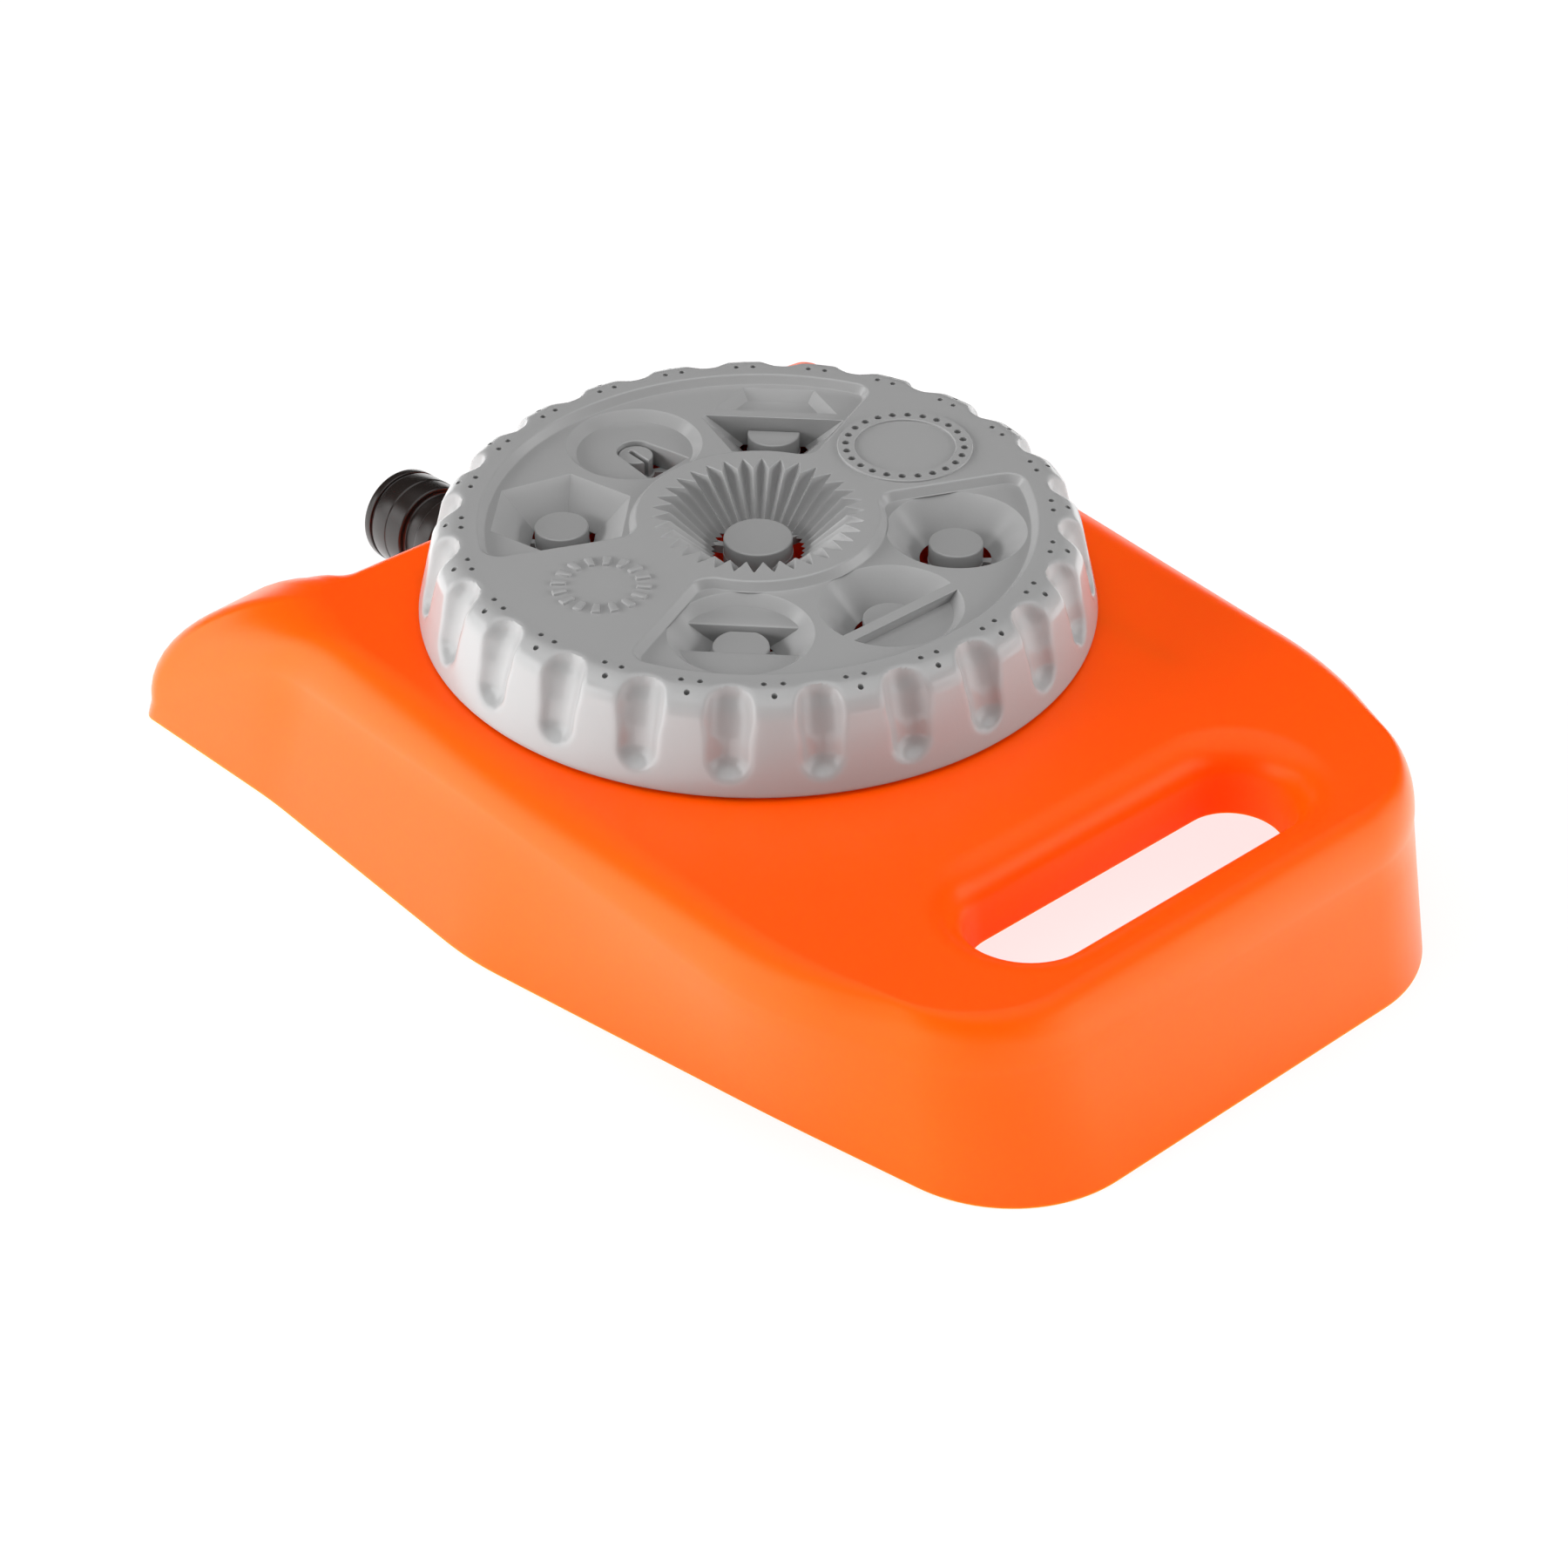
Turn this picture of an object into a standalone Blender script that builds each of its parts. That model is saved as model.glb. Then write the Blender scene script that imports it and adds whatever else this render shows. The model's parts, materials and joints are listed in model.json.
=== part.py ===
"""A garden sprinkler with a turning dial of spray patterns on a low moulded base.

Metres, +Z up. Z = 0 is the ground, X = 0 is the base's plane of symmetry, the carrying
handle is at -Y and the hose nipple at +Y. Parts are built round the dial's axis, which
an empty carries to its place in the frame.
"""

import math

import bmesh
import bpy
from mathutils import Matrix, Vector

# Clearance between pieces that rest on each other or slide past each other
FIT = 0.0003

# Heights above the ground
FACE_Z = 0.0484
DIAL_BOTTOM_Z = 0.0321
DECK_Z = 0.0316
BASE_WALL = 0.0022

# Base outline, from the middle of the back round one side to the middle of the front
TAIL_REAR = 0.0803
TAIL_HALF_WIDTH = 0.0769
HANDLE_END = 0.1180
RECESS_Y = 0.0560
TAIL_ROLL = 0.0285
SIDE_ROLL = 0.0073
WAIST_ROLL = 0.0084
HANDLE_ROLL = 0.0095
REAR_ROLL = 0.0035
ROLL_SLUMP = 0.22
ROLL_STEPS = 4
FOOT_TRIM = 0.0030

# Hole of the carrying handle
GRIP_Y = -0.0894
GRIP_HALF_LENGTH = 0.0327
GRIP_HALF_WIDTH = 0.0095
GRIP_ROLL = 0.0062
GRIP_DRAFT = 0.0010
GRIP_BOTTOM_Z = 0.0193
GRIP_STEPS = 7

# Dial, its rim and its finger grooves
DIAL_SIDES = 48
BORE_SIDES = 24
SMALL_SIDES = 16
TINY_SIDES = 12
PILOT_SIDES = 8
WIRE_SIDES = 6
SPRING_STEPS = 8
DIAL_RADIUS = 0.0575
SHOULDER_RADIUS = 0.0548
FACE_FLAT_RADIUS = 0.0500
SHOULDER_DROP = 0.0050
SKIRT_INNER_TOP = 0.0510
SKIRT_INNER_BOTTOM = 0.0528
FACE_PLATE = 0.0070
GROOVES = 24
GROOVE_RADIUS = 0.0034
GROOVE_DEPTH = 0.0022
GROOVE_TOP_DROP = 0.0012
GROOVE_LENGTH = 0.0134
GROOVE_TOP_Z = FACE_Z - GROOVE_TOP_DROP
GROOVE_BOTTOM_Z = GROOVE_TOP_Z - GROOVE_LENGTH

# Sunk pans of the face and the raised middle
PAN_DEPTH = 0.0015
PAN_Z = FACE_Z - PAN_DEPTH
PAN_INNER = 0.0210
PAN_OUTER = 0.0462
PAN_CORNER = 0.0030
BRIDGE_HALF_ANGLE = math.radians(24)

# Serrated cone in the middle
SERRATIONS = 34
TIP_RADIUS = 0.0181
CREST_RADIUS = 0.01465
TIP_RADIUS_BELOW = 0.0088
CREST_RADIUS_BELOW = 0.0075
MIDDLE_POST_RADIUS = 0.00585
MIDDLE_POST_DEPTH = 0.0045
MIDDLE_POST_Z = FACE_Z - MIDDLE_POST_DEPTH

# Spray stations on their pitch circle
PITCH_RADIUS = 0.0332
STATION_STEP = math.radians(45)
CONE_RADIUS = 0.0118
HEXAGON_APOTHEM = 0.0110
HALF_WALL_INNER = 0.0010
HALF_WALL_OUTER = 0.0030
CUT_WALL_INNER = 0.0015
CUT_WALL_OUTER = 0.0035
SLOT_INNER = -0.0045
SLOT_OUTER = 0.0030
SLOT_HALF_LENGTH = 0.0083
CHANNEL_END = 0.0052
CHANNEL_HALF = 0.0049
HOOK_RADIUS = 0.0042
SLIT_HALF_WIDTH = 0.00055
SLIT_END = 0.0023
POST_GAP = 0.0004
LEDGE_DEPTH = 0.0032
LEDGE_Z = FACE_Z - LEDGE_DEPTH
POST_RADIUS = 0.0046
POST_DEPTH = 0.0040
POST_Z = FACE_Z - POST_DEPTH
SHOWER_HOLES = 24
SHOWER_HOLE_RADIUS = 0.00075
SHOWER_RING_RADIUS = 0.0106
SHOWER_BAND_INNER = 0.0087
SHOWER_BAND_OUTER = 0.01175
SHOWER_BAND_HEIGHT = 0.0004
SHOWER_ROOF = 0.0030
SHOWER_POCKET_TOP = FACE_Z - SHOWER_ROOF
MARK_BLOCKS = 16
MARK_INNER = 0.0058
MARK_OUTER = 0.0082
MARK_WIDTH = 0.0014
MARK_HEIGHT = 0.0010

# Deflector plate under the face, chamber plate under that
DEFLECTOR_TOP_Z = FACE_Z - FACE_PLATE - FIT
DEFLECTOR_THICKNESS = 0.0015
PLATE_GAP = 0.0006
PLATE_RADIUS = SKIRT_INNER_TOP - PLATE_GAP
PLATE_SIDES = 36
WINDOW_INNER = 0.0050
WINDOW_OUTER = 0.0086
MIDDLE_WINDOW_INNER = 0.0062
MIDDLE_WINDOW_OUTER = 0.0096
SPOKE_HALF_WIDTH = 0.0009
DEFLECTOR_BOTTOM_Z = DEFLECTOR_TOP_Z - DEFLECTOR_THICKNESS
CHAMBER_TOP_Z = DEFLECTOR_BOTTOM_Z - FIT
TRACK_GAP = 0.0010
TRACK_Z = DECK_Z + TRACK_GAP
TRACK_THICKNESS = 0.0017
FLOOR_Z = TRACK_Z + TRACK_THICKNESS
CHAMBER_RADIUS = 0.0098
CHAMBER_WALL = 0.0014
MIDDLE_CHAMBER_RADIUS = 0.0106
CHANNEL_WIDTH = 0.0060
PORT_RADIUS = 0.0032

# Hub in the base, the dial's spigot in it, and the screw that holds the two together
HUB_BORE = 0.00700
HUB_OUTER = 0.0095
HUB_BOTTOM_Z = 0.0160
SPIGOT_RADIUS = 0.00692
SPIGOT_SIDES = 32
PILOT_RADIUS = 0.0020
SCREW_RADIUS = 0.0017
SCREW_HEAD_RADIUS = 0.0040
SCREW_HEAD_HEIGHT = 0.0024
WASHER_THICKNESS = 0.0012
DIAL_SCREW_LENGTH = 0.0120

# Sprung seal that feeds the chamber above it
SEAL_RADIUS = 0.0063
SEAL_GUIDE_BORE = SEAL_RADIUS + FIT
SEAL_GUIDE_OUTER = 0.0084
SEAL_GUIDE_BOTTOM_Z = 0.0190
SEAL_THROAT = 0.0042
SEAL_LIP = 0.0012
SEAL_HEIGHT = 0.0060
SEAL_BORE = 0.0030
SEAL_SKIRT = 0.0017
SEAL_SPRING_RADIUS = 0.0054
SEAL_SPRING_WIRE = 0.0004
SEAL_SPRING_TURNS = 4

# Sprung plunger that clicks into a dimple at each station
DETENT_INSET = 0.0074
DETENT_RADIUS = PLATE_RADIUS - DETENT_INSET
PLUNGER_RADIUS = 0.0030
PLUNGER_GUIDE_BORE = PLUNGER_RADIUS + FIT
PLUNGER_GUIDE_OUTER = 0.0050
PLUNGER_GUIDE_BOTTOM_Z = 0.0170
PLUNGER_GUIDE_FLOOR = 0.0015
PLUNGER_TIP_Z = TRACK_Z - FIT
PLUNGER_BOTTOM_Z = 0.0255
PLUNGER_DOME = 0.0020
PLUNGER_STEM_RADIUS = 0.0013
PLUNGER_STEM_LENGTH = 0.0025
DIMPLE_RADIUS = 0.0026
DIMPLE_DEPTH = 0.0009
PLUNGER_SPRING_RADIUS = 0.0021
PLUNGER_SPRING_WIRE = 0.0003
PLUNGER_SPRING_TURNS = 5

# Water box under the deck, closed by a gasket and a cover with four screws
BOX_LEFT = -0.0260
BOX_RIGHT = 0.0126
BOX_FRONT = 0.0210
BOX_BACK = 0.0495
BOX_WALL = 0.0020
BOX_BOTTOM_Z = 0.0062
GASKET_THICKNESS = 0.0010
COVER_THICKNESS = 0.0020
EAR_OUT = 0.0022
EAR_IN = 0.0035
EAR_RADIUS = 0.0034
COVER_SCREW_RADIUS = 0.0011
COVER_PILOT_RADIUS = COVER_SCREW_RADIUS + FIT
COVER_HEAD_RADIUS = 0.0024
COVER_HEAD_HEIGHT = 0.0012
COVER_SCREW_LENGTH = 0.0080

# Stiffening ribs under the deck
RIB_X = 0.0400
RIB_FRONT = -0.0600
RIB_BACK = 0.0440
RIB_THICKNESS = 0.0018
RIB_BOTTOM_Z = 0.0120
CROSS_RIB_Y = -0.0300
CROSS_RIB_REACH = 0.0500

# Hose nipple: its axis crosses the water box's back wall and dips towards the tip
NIPPLE_X = -0.0130
NIPPLE_TILT = math.radians(6)
NIPPLE_TIP_Y = 0.0880
NIPPLE_TIP_Z = 0.0117
NIPPLE_RADIUS = 0.0090
NIPPLE_WAIST = 0.0076
NIPPLE_LINE = 0.0085
NIPPLE_BORE = 0.0056
NIPPLE_CHAMFER = 0.0006
TIP_RING_END = 0.0019
TIP_LINE = 0.0008
BARREL_END = 0.0112
COLLAR_START = 0.0158
COLLAR_END = 0.0200
SHANK_BORE = 0.0050
FLANGE_RADIUS = 0.0093
FLANGE_START = 0.0287
FLANGE_THICKNESS = 0.0020
SHANK_RADIUS = 0.0066
SHANK_HOLE = SHANK_RADIUS + FIT
SHANK_END = 0.0470
NIPPLE_SIDES = 24
NIPPLE_BOSS_RADIUS = 0.0094
NIPPLE_BOSS_START = FLANGE_START + FLANGE_THICKNESS + FIT
NIPPLE_BOSS_END = 0.0420
ORING_WIRE = 0.0007
ORING_RADIUS = SHANK_HOLE + ORING_WIRE
ORING_GROOVE_RADIUS = ORING_RADIUS + ORING_WIRE + FIT
ORING_GROOVE_DEPTH = 2 * ORING_WIRE + FIT
NUT_RADIUS = 0.0092
NUT_THICKNESS = 0.0040
STRAINER_RADIUS = NIPPLE_BORE - FIT
STRAINER_THICKNESS = 0.0010
STRAINER_INSET = 0.0017
STRAINER_PITCH = 0.0030
STRAINER_HOLE = 0.0011

# Cutters pass the surfaces they open by these heights
OVER_FACE = 0.0010
OVER_PAN = 0.0005
OVER_FACE_Z = FACE_Z + OVER_FACE
PLATE_BOTTOM_Z = FACE_Z - FACE_PLATE
UNDER_PLATE_Z = PLATE_BOTTOM_Z - OVER_FACE

# Stations by their number on the pitch circle, counted from +X
SHOWER = 0
HALF_HEXAGON = 1
HOOKED = 2
HEXAGON = 3
MARK = 4
SLOTTED = 5
CUT_CONE = 6
CONE = 7

# Place of the dial's axis: the frame's origin is the middle of the whole length
REAR_END = NIPPLE_TIP_Y + NIPPLE_RADIUS * math.sin(NIPPLE_TILT)
DIAL_Y = (HANDLE_END - REAR_END) / 2


def clear_scene():
    for obj in list(bpy.data.objects):
        bpy.data.objects.remove(obj)


def new_collection(name):
    collection = bpy.data.collections.new(name)
    bpy.context.scene.collection.children.link(collection)
    return collection


def material(name, colour, roughness, metallic=0.0):
    made = bpy.data.materials.new(name)
    made.use_nodes = True
    shader = made.node_tree.nodes["Principled BSDF"]
    shader.inputs["Base Color"].default_value = (*colour, 1.0)
    shader.inputs["Roughness"].default_value = roughness
    shader.inputs["Metallic"].default_value = metallic
    return made


clear_scene()
PARTS = new_collection("garden_sprinkler")
CUTTERS = new_collection("cutters")

ORANGE = material("orange_polypropylene", (1.0, 0.17, 0.0), 0.30)
RED = material("red_orange_polypropylene", (0.80, 0.10, 0.01), 0.35)
GREY = material("grey_abs", (0.31, 0.31, 0.31), 0.35)
BLACK = material("black_nylon", (0.018, 0.014, 0.013), 0.25)
RUBBER = material("black_rubber", (0.03, 0.03, 0.03), 0.70)
STEEL = material("stainless_steel", (0.60, 0.60, 0.58), 0.30, 1.0)
ACETAL = material("white_acetal", (0.80, 0.80, 0.77), 0.40)


def empty(name, location, parent=None, tilt=0.0):
    made = bpy.data.objects.new(name, None)
    made.location = location
    made.rotation_euler = (tilt, 0.0, 0.0)
    made.parent = parent
    PARTS.objects.link(made)
    return made


DIAL_AXIS = empty("dial_axis", (0.0, DIAL_Y, 0.0))
SEAL_AXIS = empty("seal_axis", (0.0, PITCH_RADIUS, 0.0), DIAL_AXIS)
DETENT_AXIS = empty("detent_axis", (0.0, -DETENT_RADIUS, 0.0), DIAL_AXIS)
NIPPLE_AXIS = empty(
    "nipple_axis", (NIPPLE_X, NIPPLE_TIP_Y, NIPPLE_TIP_Z), DIAL_AXIS, -NIPPLE_TILT
)


# Making objects


def add(name, mesh, look=None, parent=DIAL_AXIS, location=(0.0, 0.0, 0.0), turn=0.0):
    """Links a mesh as a part that has a look, or as a hidden cutter that has none."""
    made = bpy.data.objects.new(name, mesh)
    made.parent = parent
    made.location = location
    made.rotation_euler = (0.0, 0.0, turn)
    if look is None:
        made.hide_render = True
        made.display_type = "WIRE"
        CUTTERS.objects.link(made)
        return made
    mesh.materials.append(look)
    PARTS.objects.link(made)
    mesh.shade_smooth()
    mesh.set_sharp_from_angle(angle=math.radians(35))
    return made


def finish(name, shape):
    bmesh.ops.recalc_face_normals(shape, faces=shape.faces)
    mesh = bpy.data.meshes.new(name)
    shape.to_mesh(mesh)
    shape.free()
    return mesh


def cylinders(name, places, radius, bottom, top, sides=BORE_SIDES, top_radius=None):
    """Upright cylinders or cones in one mesh, one for each (x, y) in places."""
    shape = bmesh.new()
    for x, y in places:
        made = bmesh.ops.create_cone(
            shape,
            cap_ends=True,
            segments=sides,
            radius1=radius,
            radius2=radius if top_radius is None else top_radius,
            depth=top - bottom,
        )
        middle = Vector((x, y, (bottom + top) / 2))
        bmesh.ops.translate(shape, vec=middle, verts=made["verts"])
    return finish(name, shape)


def box(name, low, high):
    shape = bmesh.new()
    made = bmesh.ops.create_cube(shape, size=1.0)
    sides = Vector(high) - Vector(low)
    bmesh.ops.scale(shape, vec=sides, verts=made["verts"])
    bmesh.ops.translate(shape, vec=(Vector(high) + Vector(low)) / 2, verts=made["verts"])
    return finish(name, shape)


def loft(name, rings):
    """Closed solid through rings of (x, y, z) points, all of one count, with flat ends."""
    count = len(rings[0])
    points = [point for ring in rings for point in ring]
    faces = [list(range(count))[::-1]]
    faces.append([(len(rings) - 1) * count + i for i in range(count)])
    for level in range(len(rings) - 1):
        for i in range(count):
            j = (i + 1) % count
            below = level * count
            faces.append([below + i, below + j, below + count + j, below + count + i])
    shape = bmesh.new()
    corners = [shape.verts.new(point) for point in points]
    for face in faces:
        shape.faces.new([corners[i] for i in face])
    return finish(name, shape)


def at(outline, z):
    return [(x, y, z) for x, y in outline]


def prisms(name, outlines, bottom, top):
    """Upright prisms in one mesh, one for each flat outline."""
    shape = bmesh.new()
    for outline in outlines:
        floor = shape.faces.new([shape.verts.new((x, y, bottom)) for x, y in outline])
        made = bmesh.ops.extrude_face_region(shape, geom=[floor])
        raised = [item for item in made["geom"] if isinstance(item, bmesh.types.BMVert)]
        bmesh.ops.translate(shape, vec=(0.0, 0.0, top - bottom), verts=raised)
    return finish(name, shape)


def turned(name, profile, look, parent=DIAL_AXIS, sides=DIAL_SIDES, axis="Z", closed=False):
    """Turns a profile of (radius, height) points, which runs down its outer side."""
    if axis == "Z":
        points = [(radius, 0.0, height) for radius, height in profile]
    else:
        points = [(radius, height, 0.0) for radius, height in profile]
    mesh = bpy.data.meshes.new(name)
    edges = [(i, i + 1) for i in range(len(points) - 1)]
    if closed:
        edges.append((len(points) - 1, 0))
    mesh.from_pydata(points, edges, [])
    made = add(name, mesh, look, parent)
    screw = made.modifiers.new("turn", "SCREW")
    screw.axis = axis
    screw.steps = sides
    screw.render_steps = sides
    screw.use_merge_vertices = True
    screw.merge_threshold = 0.00001
    screw.use_smooth_shade = True
    return made


def along_nipple(name, profile, look=None, sides=NIPPLE_SIDES, closed=False):
    """Turned piece on the nipple's axis; profile heights run inwards from the tip."""
    points = [(radius, -inwards) for radius, inwards in profile]
    return turned(name, points, look, NIPPLE_AXIS, sides, "Y", closed)


def rod(radius, start, end):
    """Profile of a plain rod, from its start to its end."""
    return [(0.0, start), (radius, start), (radius, end), (0.0, end)]


def spring(name, radius, wire, turns, bottom, top, parent):
    """Coil spring as one bevelled helix between two heights."""
    count = turns * SPRING_STEPS
    low = bottom + wire
    rise = top - bottom - 2 * wire
    curve = bpy.data.curves.new(name, "CURVE")
    curve.dimensions = "3D"
    curve.bevel_depth = wire
    curve.bevel_resolution = 1
    curve.use_fill_caps = True
    path = curve.splines.new("POLY")
    path.points.add(count)
    for i, point in enumerate(path.points):
        turn = math.tau * i / SPRING_STEPS
        x = radius * math.cos(turn)
        y = radius * math.sin(turn)
        point.co = (x, y, low + rise * i / count, 1.0)
    curve.materials.append(STEEL)
    made = bpy.data.objects.new(name, curve)
    made.parent = parent
    PARTS.objects.link(made)
    return made


def boolean(target, other, operation):
    step = target.modifiers.new(other.name, "BOOLEAN")
    step.operation = operation
    step.object = other
    step.solver = "EXACT"


def cut(target, *others):
    for other in others:
        boolean(target, other, "DIFFERENCE")


def join(target, *others):
    for other in others:
        boolean(target, other, "UNION")


# Flat outlines


def arc(radius, start, end, steps):
    """Points of an arc about the origin, both ends included."""
    turns = [start + (end - start) * i / steps for i in range(steps + 1)]
    return [(radius * math.cos(turn), radius * math.sin(turn)) for turn in turns]


def circle(radius, sides):
    return arc(radius, 0.0, math.tau * (sides - 1) / sides, sides - 1)


def trimmed_circle(radius, limit, steps):
    """The part of a circle on the inner side of the line x = limit."""
    start = math.acos(limit / radius)
    return arc(radius, start, math.tau - start, steps)


def outer_segment(radius, limit, steps):
    """The part of a circle on the outer side of the line x = limit."""
    start = math.acos(limit / radius)
    return arc(radius, -start, start, steps)


def band_of_circle(radius, low, high, steps):
    """The part of a circle between the lines x = low and x = high."""
    first = math.acos(high / radius)
    last = math.acos(low / radius)
    upper = arc(radius, first, last, steps)
    lower = arc(radius, math.tau - last, math.tau - first, steps)
    return upper + lower


def shifted(outline, x, y):
    return [(px + x, py + y) for px, py in outline]


def rounded_path(corners, steps):
    """Open path through (x, y, radius) corners; each inner corner becomes an arc."""
    places = [Vector((x, y)) for x, y, _ in corners]
    path = [places[0]]
    for i in range(1, len(corners) - 1):
        back = (places[i - 1] - places[i]).normalized()
        ahead = (places[i + 1] - places[i]).normalized()
        half = back.angle(ahead) / 2
        reach = corners[i][2] / math.tan(half)
        centre = places[i] + (back + ahead).normalized() * corners[i][2] / math.sin(half)
        first = places[i] + back * reach - centre
        sweep = first.angle_signed(places[i] + ahead * reach - centre)
        for step in range(steps[i] + 1):
            turn = -sweep * step / steps[i]
            spun = Vector((
                first.x * math.cos(turn) - first.y * math.sin(turn),
                first.x * math.sin(turn) + first.y * math.cos(turn),
            ))
            path.append(centre + spun)
    path.append(places[-1])
    return path


# Base: one open skin from the ground edge, over the deck, down into the handle's hole


# Each corner: ground, top of the upright wall, edge of the flat deck, as (x, y, radius),
# then the height of the rounding between the last two
BASE_CORNERS = [
    ((0.0, RECESS_Y, 0), (0.0, 0.0535, 0), (0.0, 0.0500, 0), REAR_ROLL),
    ((0.0500, RECESS_Y, 0.005), (0.0490, 0.0535, 0.005), (0.0500, 0.0500, 0.003), REAR_ROLL),
    ((0.0540, TAIL_REAR, 0.006), (0.0556, 0.0798, 0.006), (0.0545, 0.0520, 0.002), TAIL_ROLL),
    ((TAIL_HALF_WIDTH, TAIL_REAR, 0.0032), (0.0772, 0.0798, 0.0037), (0.0565, 0.0480, 0.004),
     TAIL_ROLL),
    ((0.0737, 0.0428, 0.120), (0.0672, 0.0428, 0.040), (0.0594, 0.0328, 0.030), 0.0100),
    ((0.0732, -0.0136, 0.060), (0.0664, -0.0136, 0.400), (0.0575, -0.0136, 0.300), SIDE_ROLL),
    ((0.0601, -0.0741, 0.600), (0.0636, -0.0741, 0.060), (0.0574, -0.0741, 0.080), WAIST_ROLL),
    ((0.0492, -HANDLE_END, 0.0243), (0.0476, -0.1115, 0.0235), (0.0485, -0.1062, 0.0195),
     HANDLE_ROLL),
    ((0.0, -HANDLE_END, 0), (0.0, -0.1115, 0), (0.0, -0.1062, 0), HANDLE_ROLL),
]
CORNER_STEPS = [0, 3, 3, 5, 2, 3, 3, 7, 0]
SPAN_STEPS = [1, 2, 1, 3, 2, 2, 2, 1]


def base_guides():
    """The three outlines of half the base with one point count, and the roll's height."""
    paths = [
        rounded_path([corner[level] for corner in BASE_CORNERS], CORNER_STEPS)
        for level in range(3)
    ]
    rolls = [BASE_CORNERS[0][3]]
    for corner, steps in zip(BASE_CORNERS[1:-1], CORNER_STEPS[1:-1]):
        rolls += [corner[3]] * (steps + 1)
    rolls.append(BASE_CORNERS[-1][3])
    starts = [0]
    for steps in CORNER_STEPS[1:-1]:
        starts.append(starts[-1] + 1 + (steps if len(starts) > 1 else 0))
    rows = [(*(path[0] for path in paths), rolls[0])]
    place = 0
    for span, pieces in enumerate(SPAN_STEPS):
        for piece in range(1, pieces + 1):
            share = piece / pieces
            row = [path[place].lerp(path[place + 1], share) for path in paths]
            roll = rolls[place] + (rolls[place + 1] - rolls[place]) * share
            rows.append((*row, roll))
        place += 1
        for _ in range(CORNER_STEPS[span + 1]):
            place += 1
            rows.append((*(path[place] for path in paths), rolls[place]))
    return rows


def base_rings():
    """Rings of half the outer skin, from the ground edge to the edge of the deck.

    The taller a rounding is, the more it slumps from a quarter ellipse towards a ramp.
    """
    rows = base_guides()
    foot = []
    for ground, wall, _, roll in rows:
        place = wall.lerp(ground, 1 + FOOT_TRIM / (DECK_Z - roll))
        foot.append((place.x, place.y, -FOOT_TRIM))
    rings = [foot]
    for step in range(ROLL_STEPS + 1):
        turn = math.pi / 2 * step / ROLL_STEPS
        ring = []
        for _, wall, deck, roll in rows:
            place = wall.lerp(deck, 1 - math.cos(turn))
            fullness = 1 - ROLL_SLUMP * roll / DECK_Z
            drop = roll * (1 - math.sin(turn)) ** fullness
            ring.append((place.x, place.y, DECK_Z - drop))
        rings.append(ring)
    return rings


def grip_ring(grow, z):
    """Half the hole's outline, grown outwards, from its front to its back."""
    radius = GRIP_HALF_WIDTH + grow
    centre = GRIP_HALF_LENGTH - GRIP_HALF_WIDTH
    curve = arc(radius, -math.pi / 2, math.pi / 2, GRIP_STEPS)
    half = [(0.0, -radius), *shifted(curve, centre, 0.0), (0.0, radius)]
    return [(x, y + GRIP_Y, z) for x, y in half]


def grip_rings():
    """Rings from the deck down into the hole."""
    rings = []
    for step in range(ROLL_STEPS + 1):
        turn = math.pi / 2 * step / ROLL_STEPS
        drop = GRIP_ROLL * (1 - math.cos(turn))
        rings.append(grip_ring(GRIP_ROLL * (1 - math.sin(turn)), DECK_Z - drop))
    rings.append(grip_ring(-GRIP_DRAFT, GRIP_BOTTOM_Z))
    return rings


def base_skin():
    outer = base_rings()
    inner = grip_rings()
    shape = bmesh.new()
    rows = [[shape.verts.new(point) for point in ring] for ring in outer + inner]
    last = len(outer) - 1
    for level in range(len(rows) - 1):
        if level == last:
            continue
        for i in range(len(rows[level]) - 1):
            low, high = rows[level], rows[level + 1]
            shape.faces.new((low[i], high[i], high[i + 1], low[i + 1]))
    shape.faces.new(rows[last] + rows[last + 1])
    bmesh.ops.recalc_face_normals(shape, faces=shape.faces)
    deck = max(shape.faces, key=lambda face: len(face.verts))
    if deck.normal.z < 0:
        bmesh.ops.reverse_faces(shape, faces=shape.faces)
    mesh = bpy.data.meshes.new("base_shell")
    shape.to_mesh(mesh)
    shape.free()
    return mesh


BASE = add("base_shell", base_skin(), ORANGE)
MIRROR = BASE.modifiers.new("other_side", "MIRROR")
MIRROR.merge_threshold = 0.00001
WALL = BASE.modifiers.new("wall", "SOLIDIFY")
WALL.thickness = BASE_WALL
WALL.offset = -1.0
GROUND = box(
    "ground",
    (-HANDLE_END, -HANDLE_END - FOOT_TRIM, -2 * FOOT_TRIM),
    (HANDLE_END, HANDLE_END, 0.0),
)
cut(BASE, add("ground", GROUND))

# What hangs from the deck: each piece starts inside the deck's thickness
UNDER_DECK_Z = DECK_Z - BASE_WALL / 2
EAR_PLACES = [
    (x, y)
    for x in (BOX_LEFT - EAR_OUT, BOX_RIGHT + EAR_OUT)
    for y in (BOX_FRONT + EAR_IN, BOX_BACK - EAR_IN)
]
SEAL_PLACE = [(0.0, PITCH_RADIUS)]
DETENT_PLACE = [(0.0, -DETENT_RADIUS)]

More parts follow.
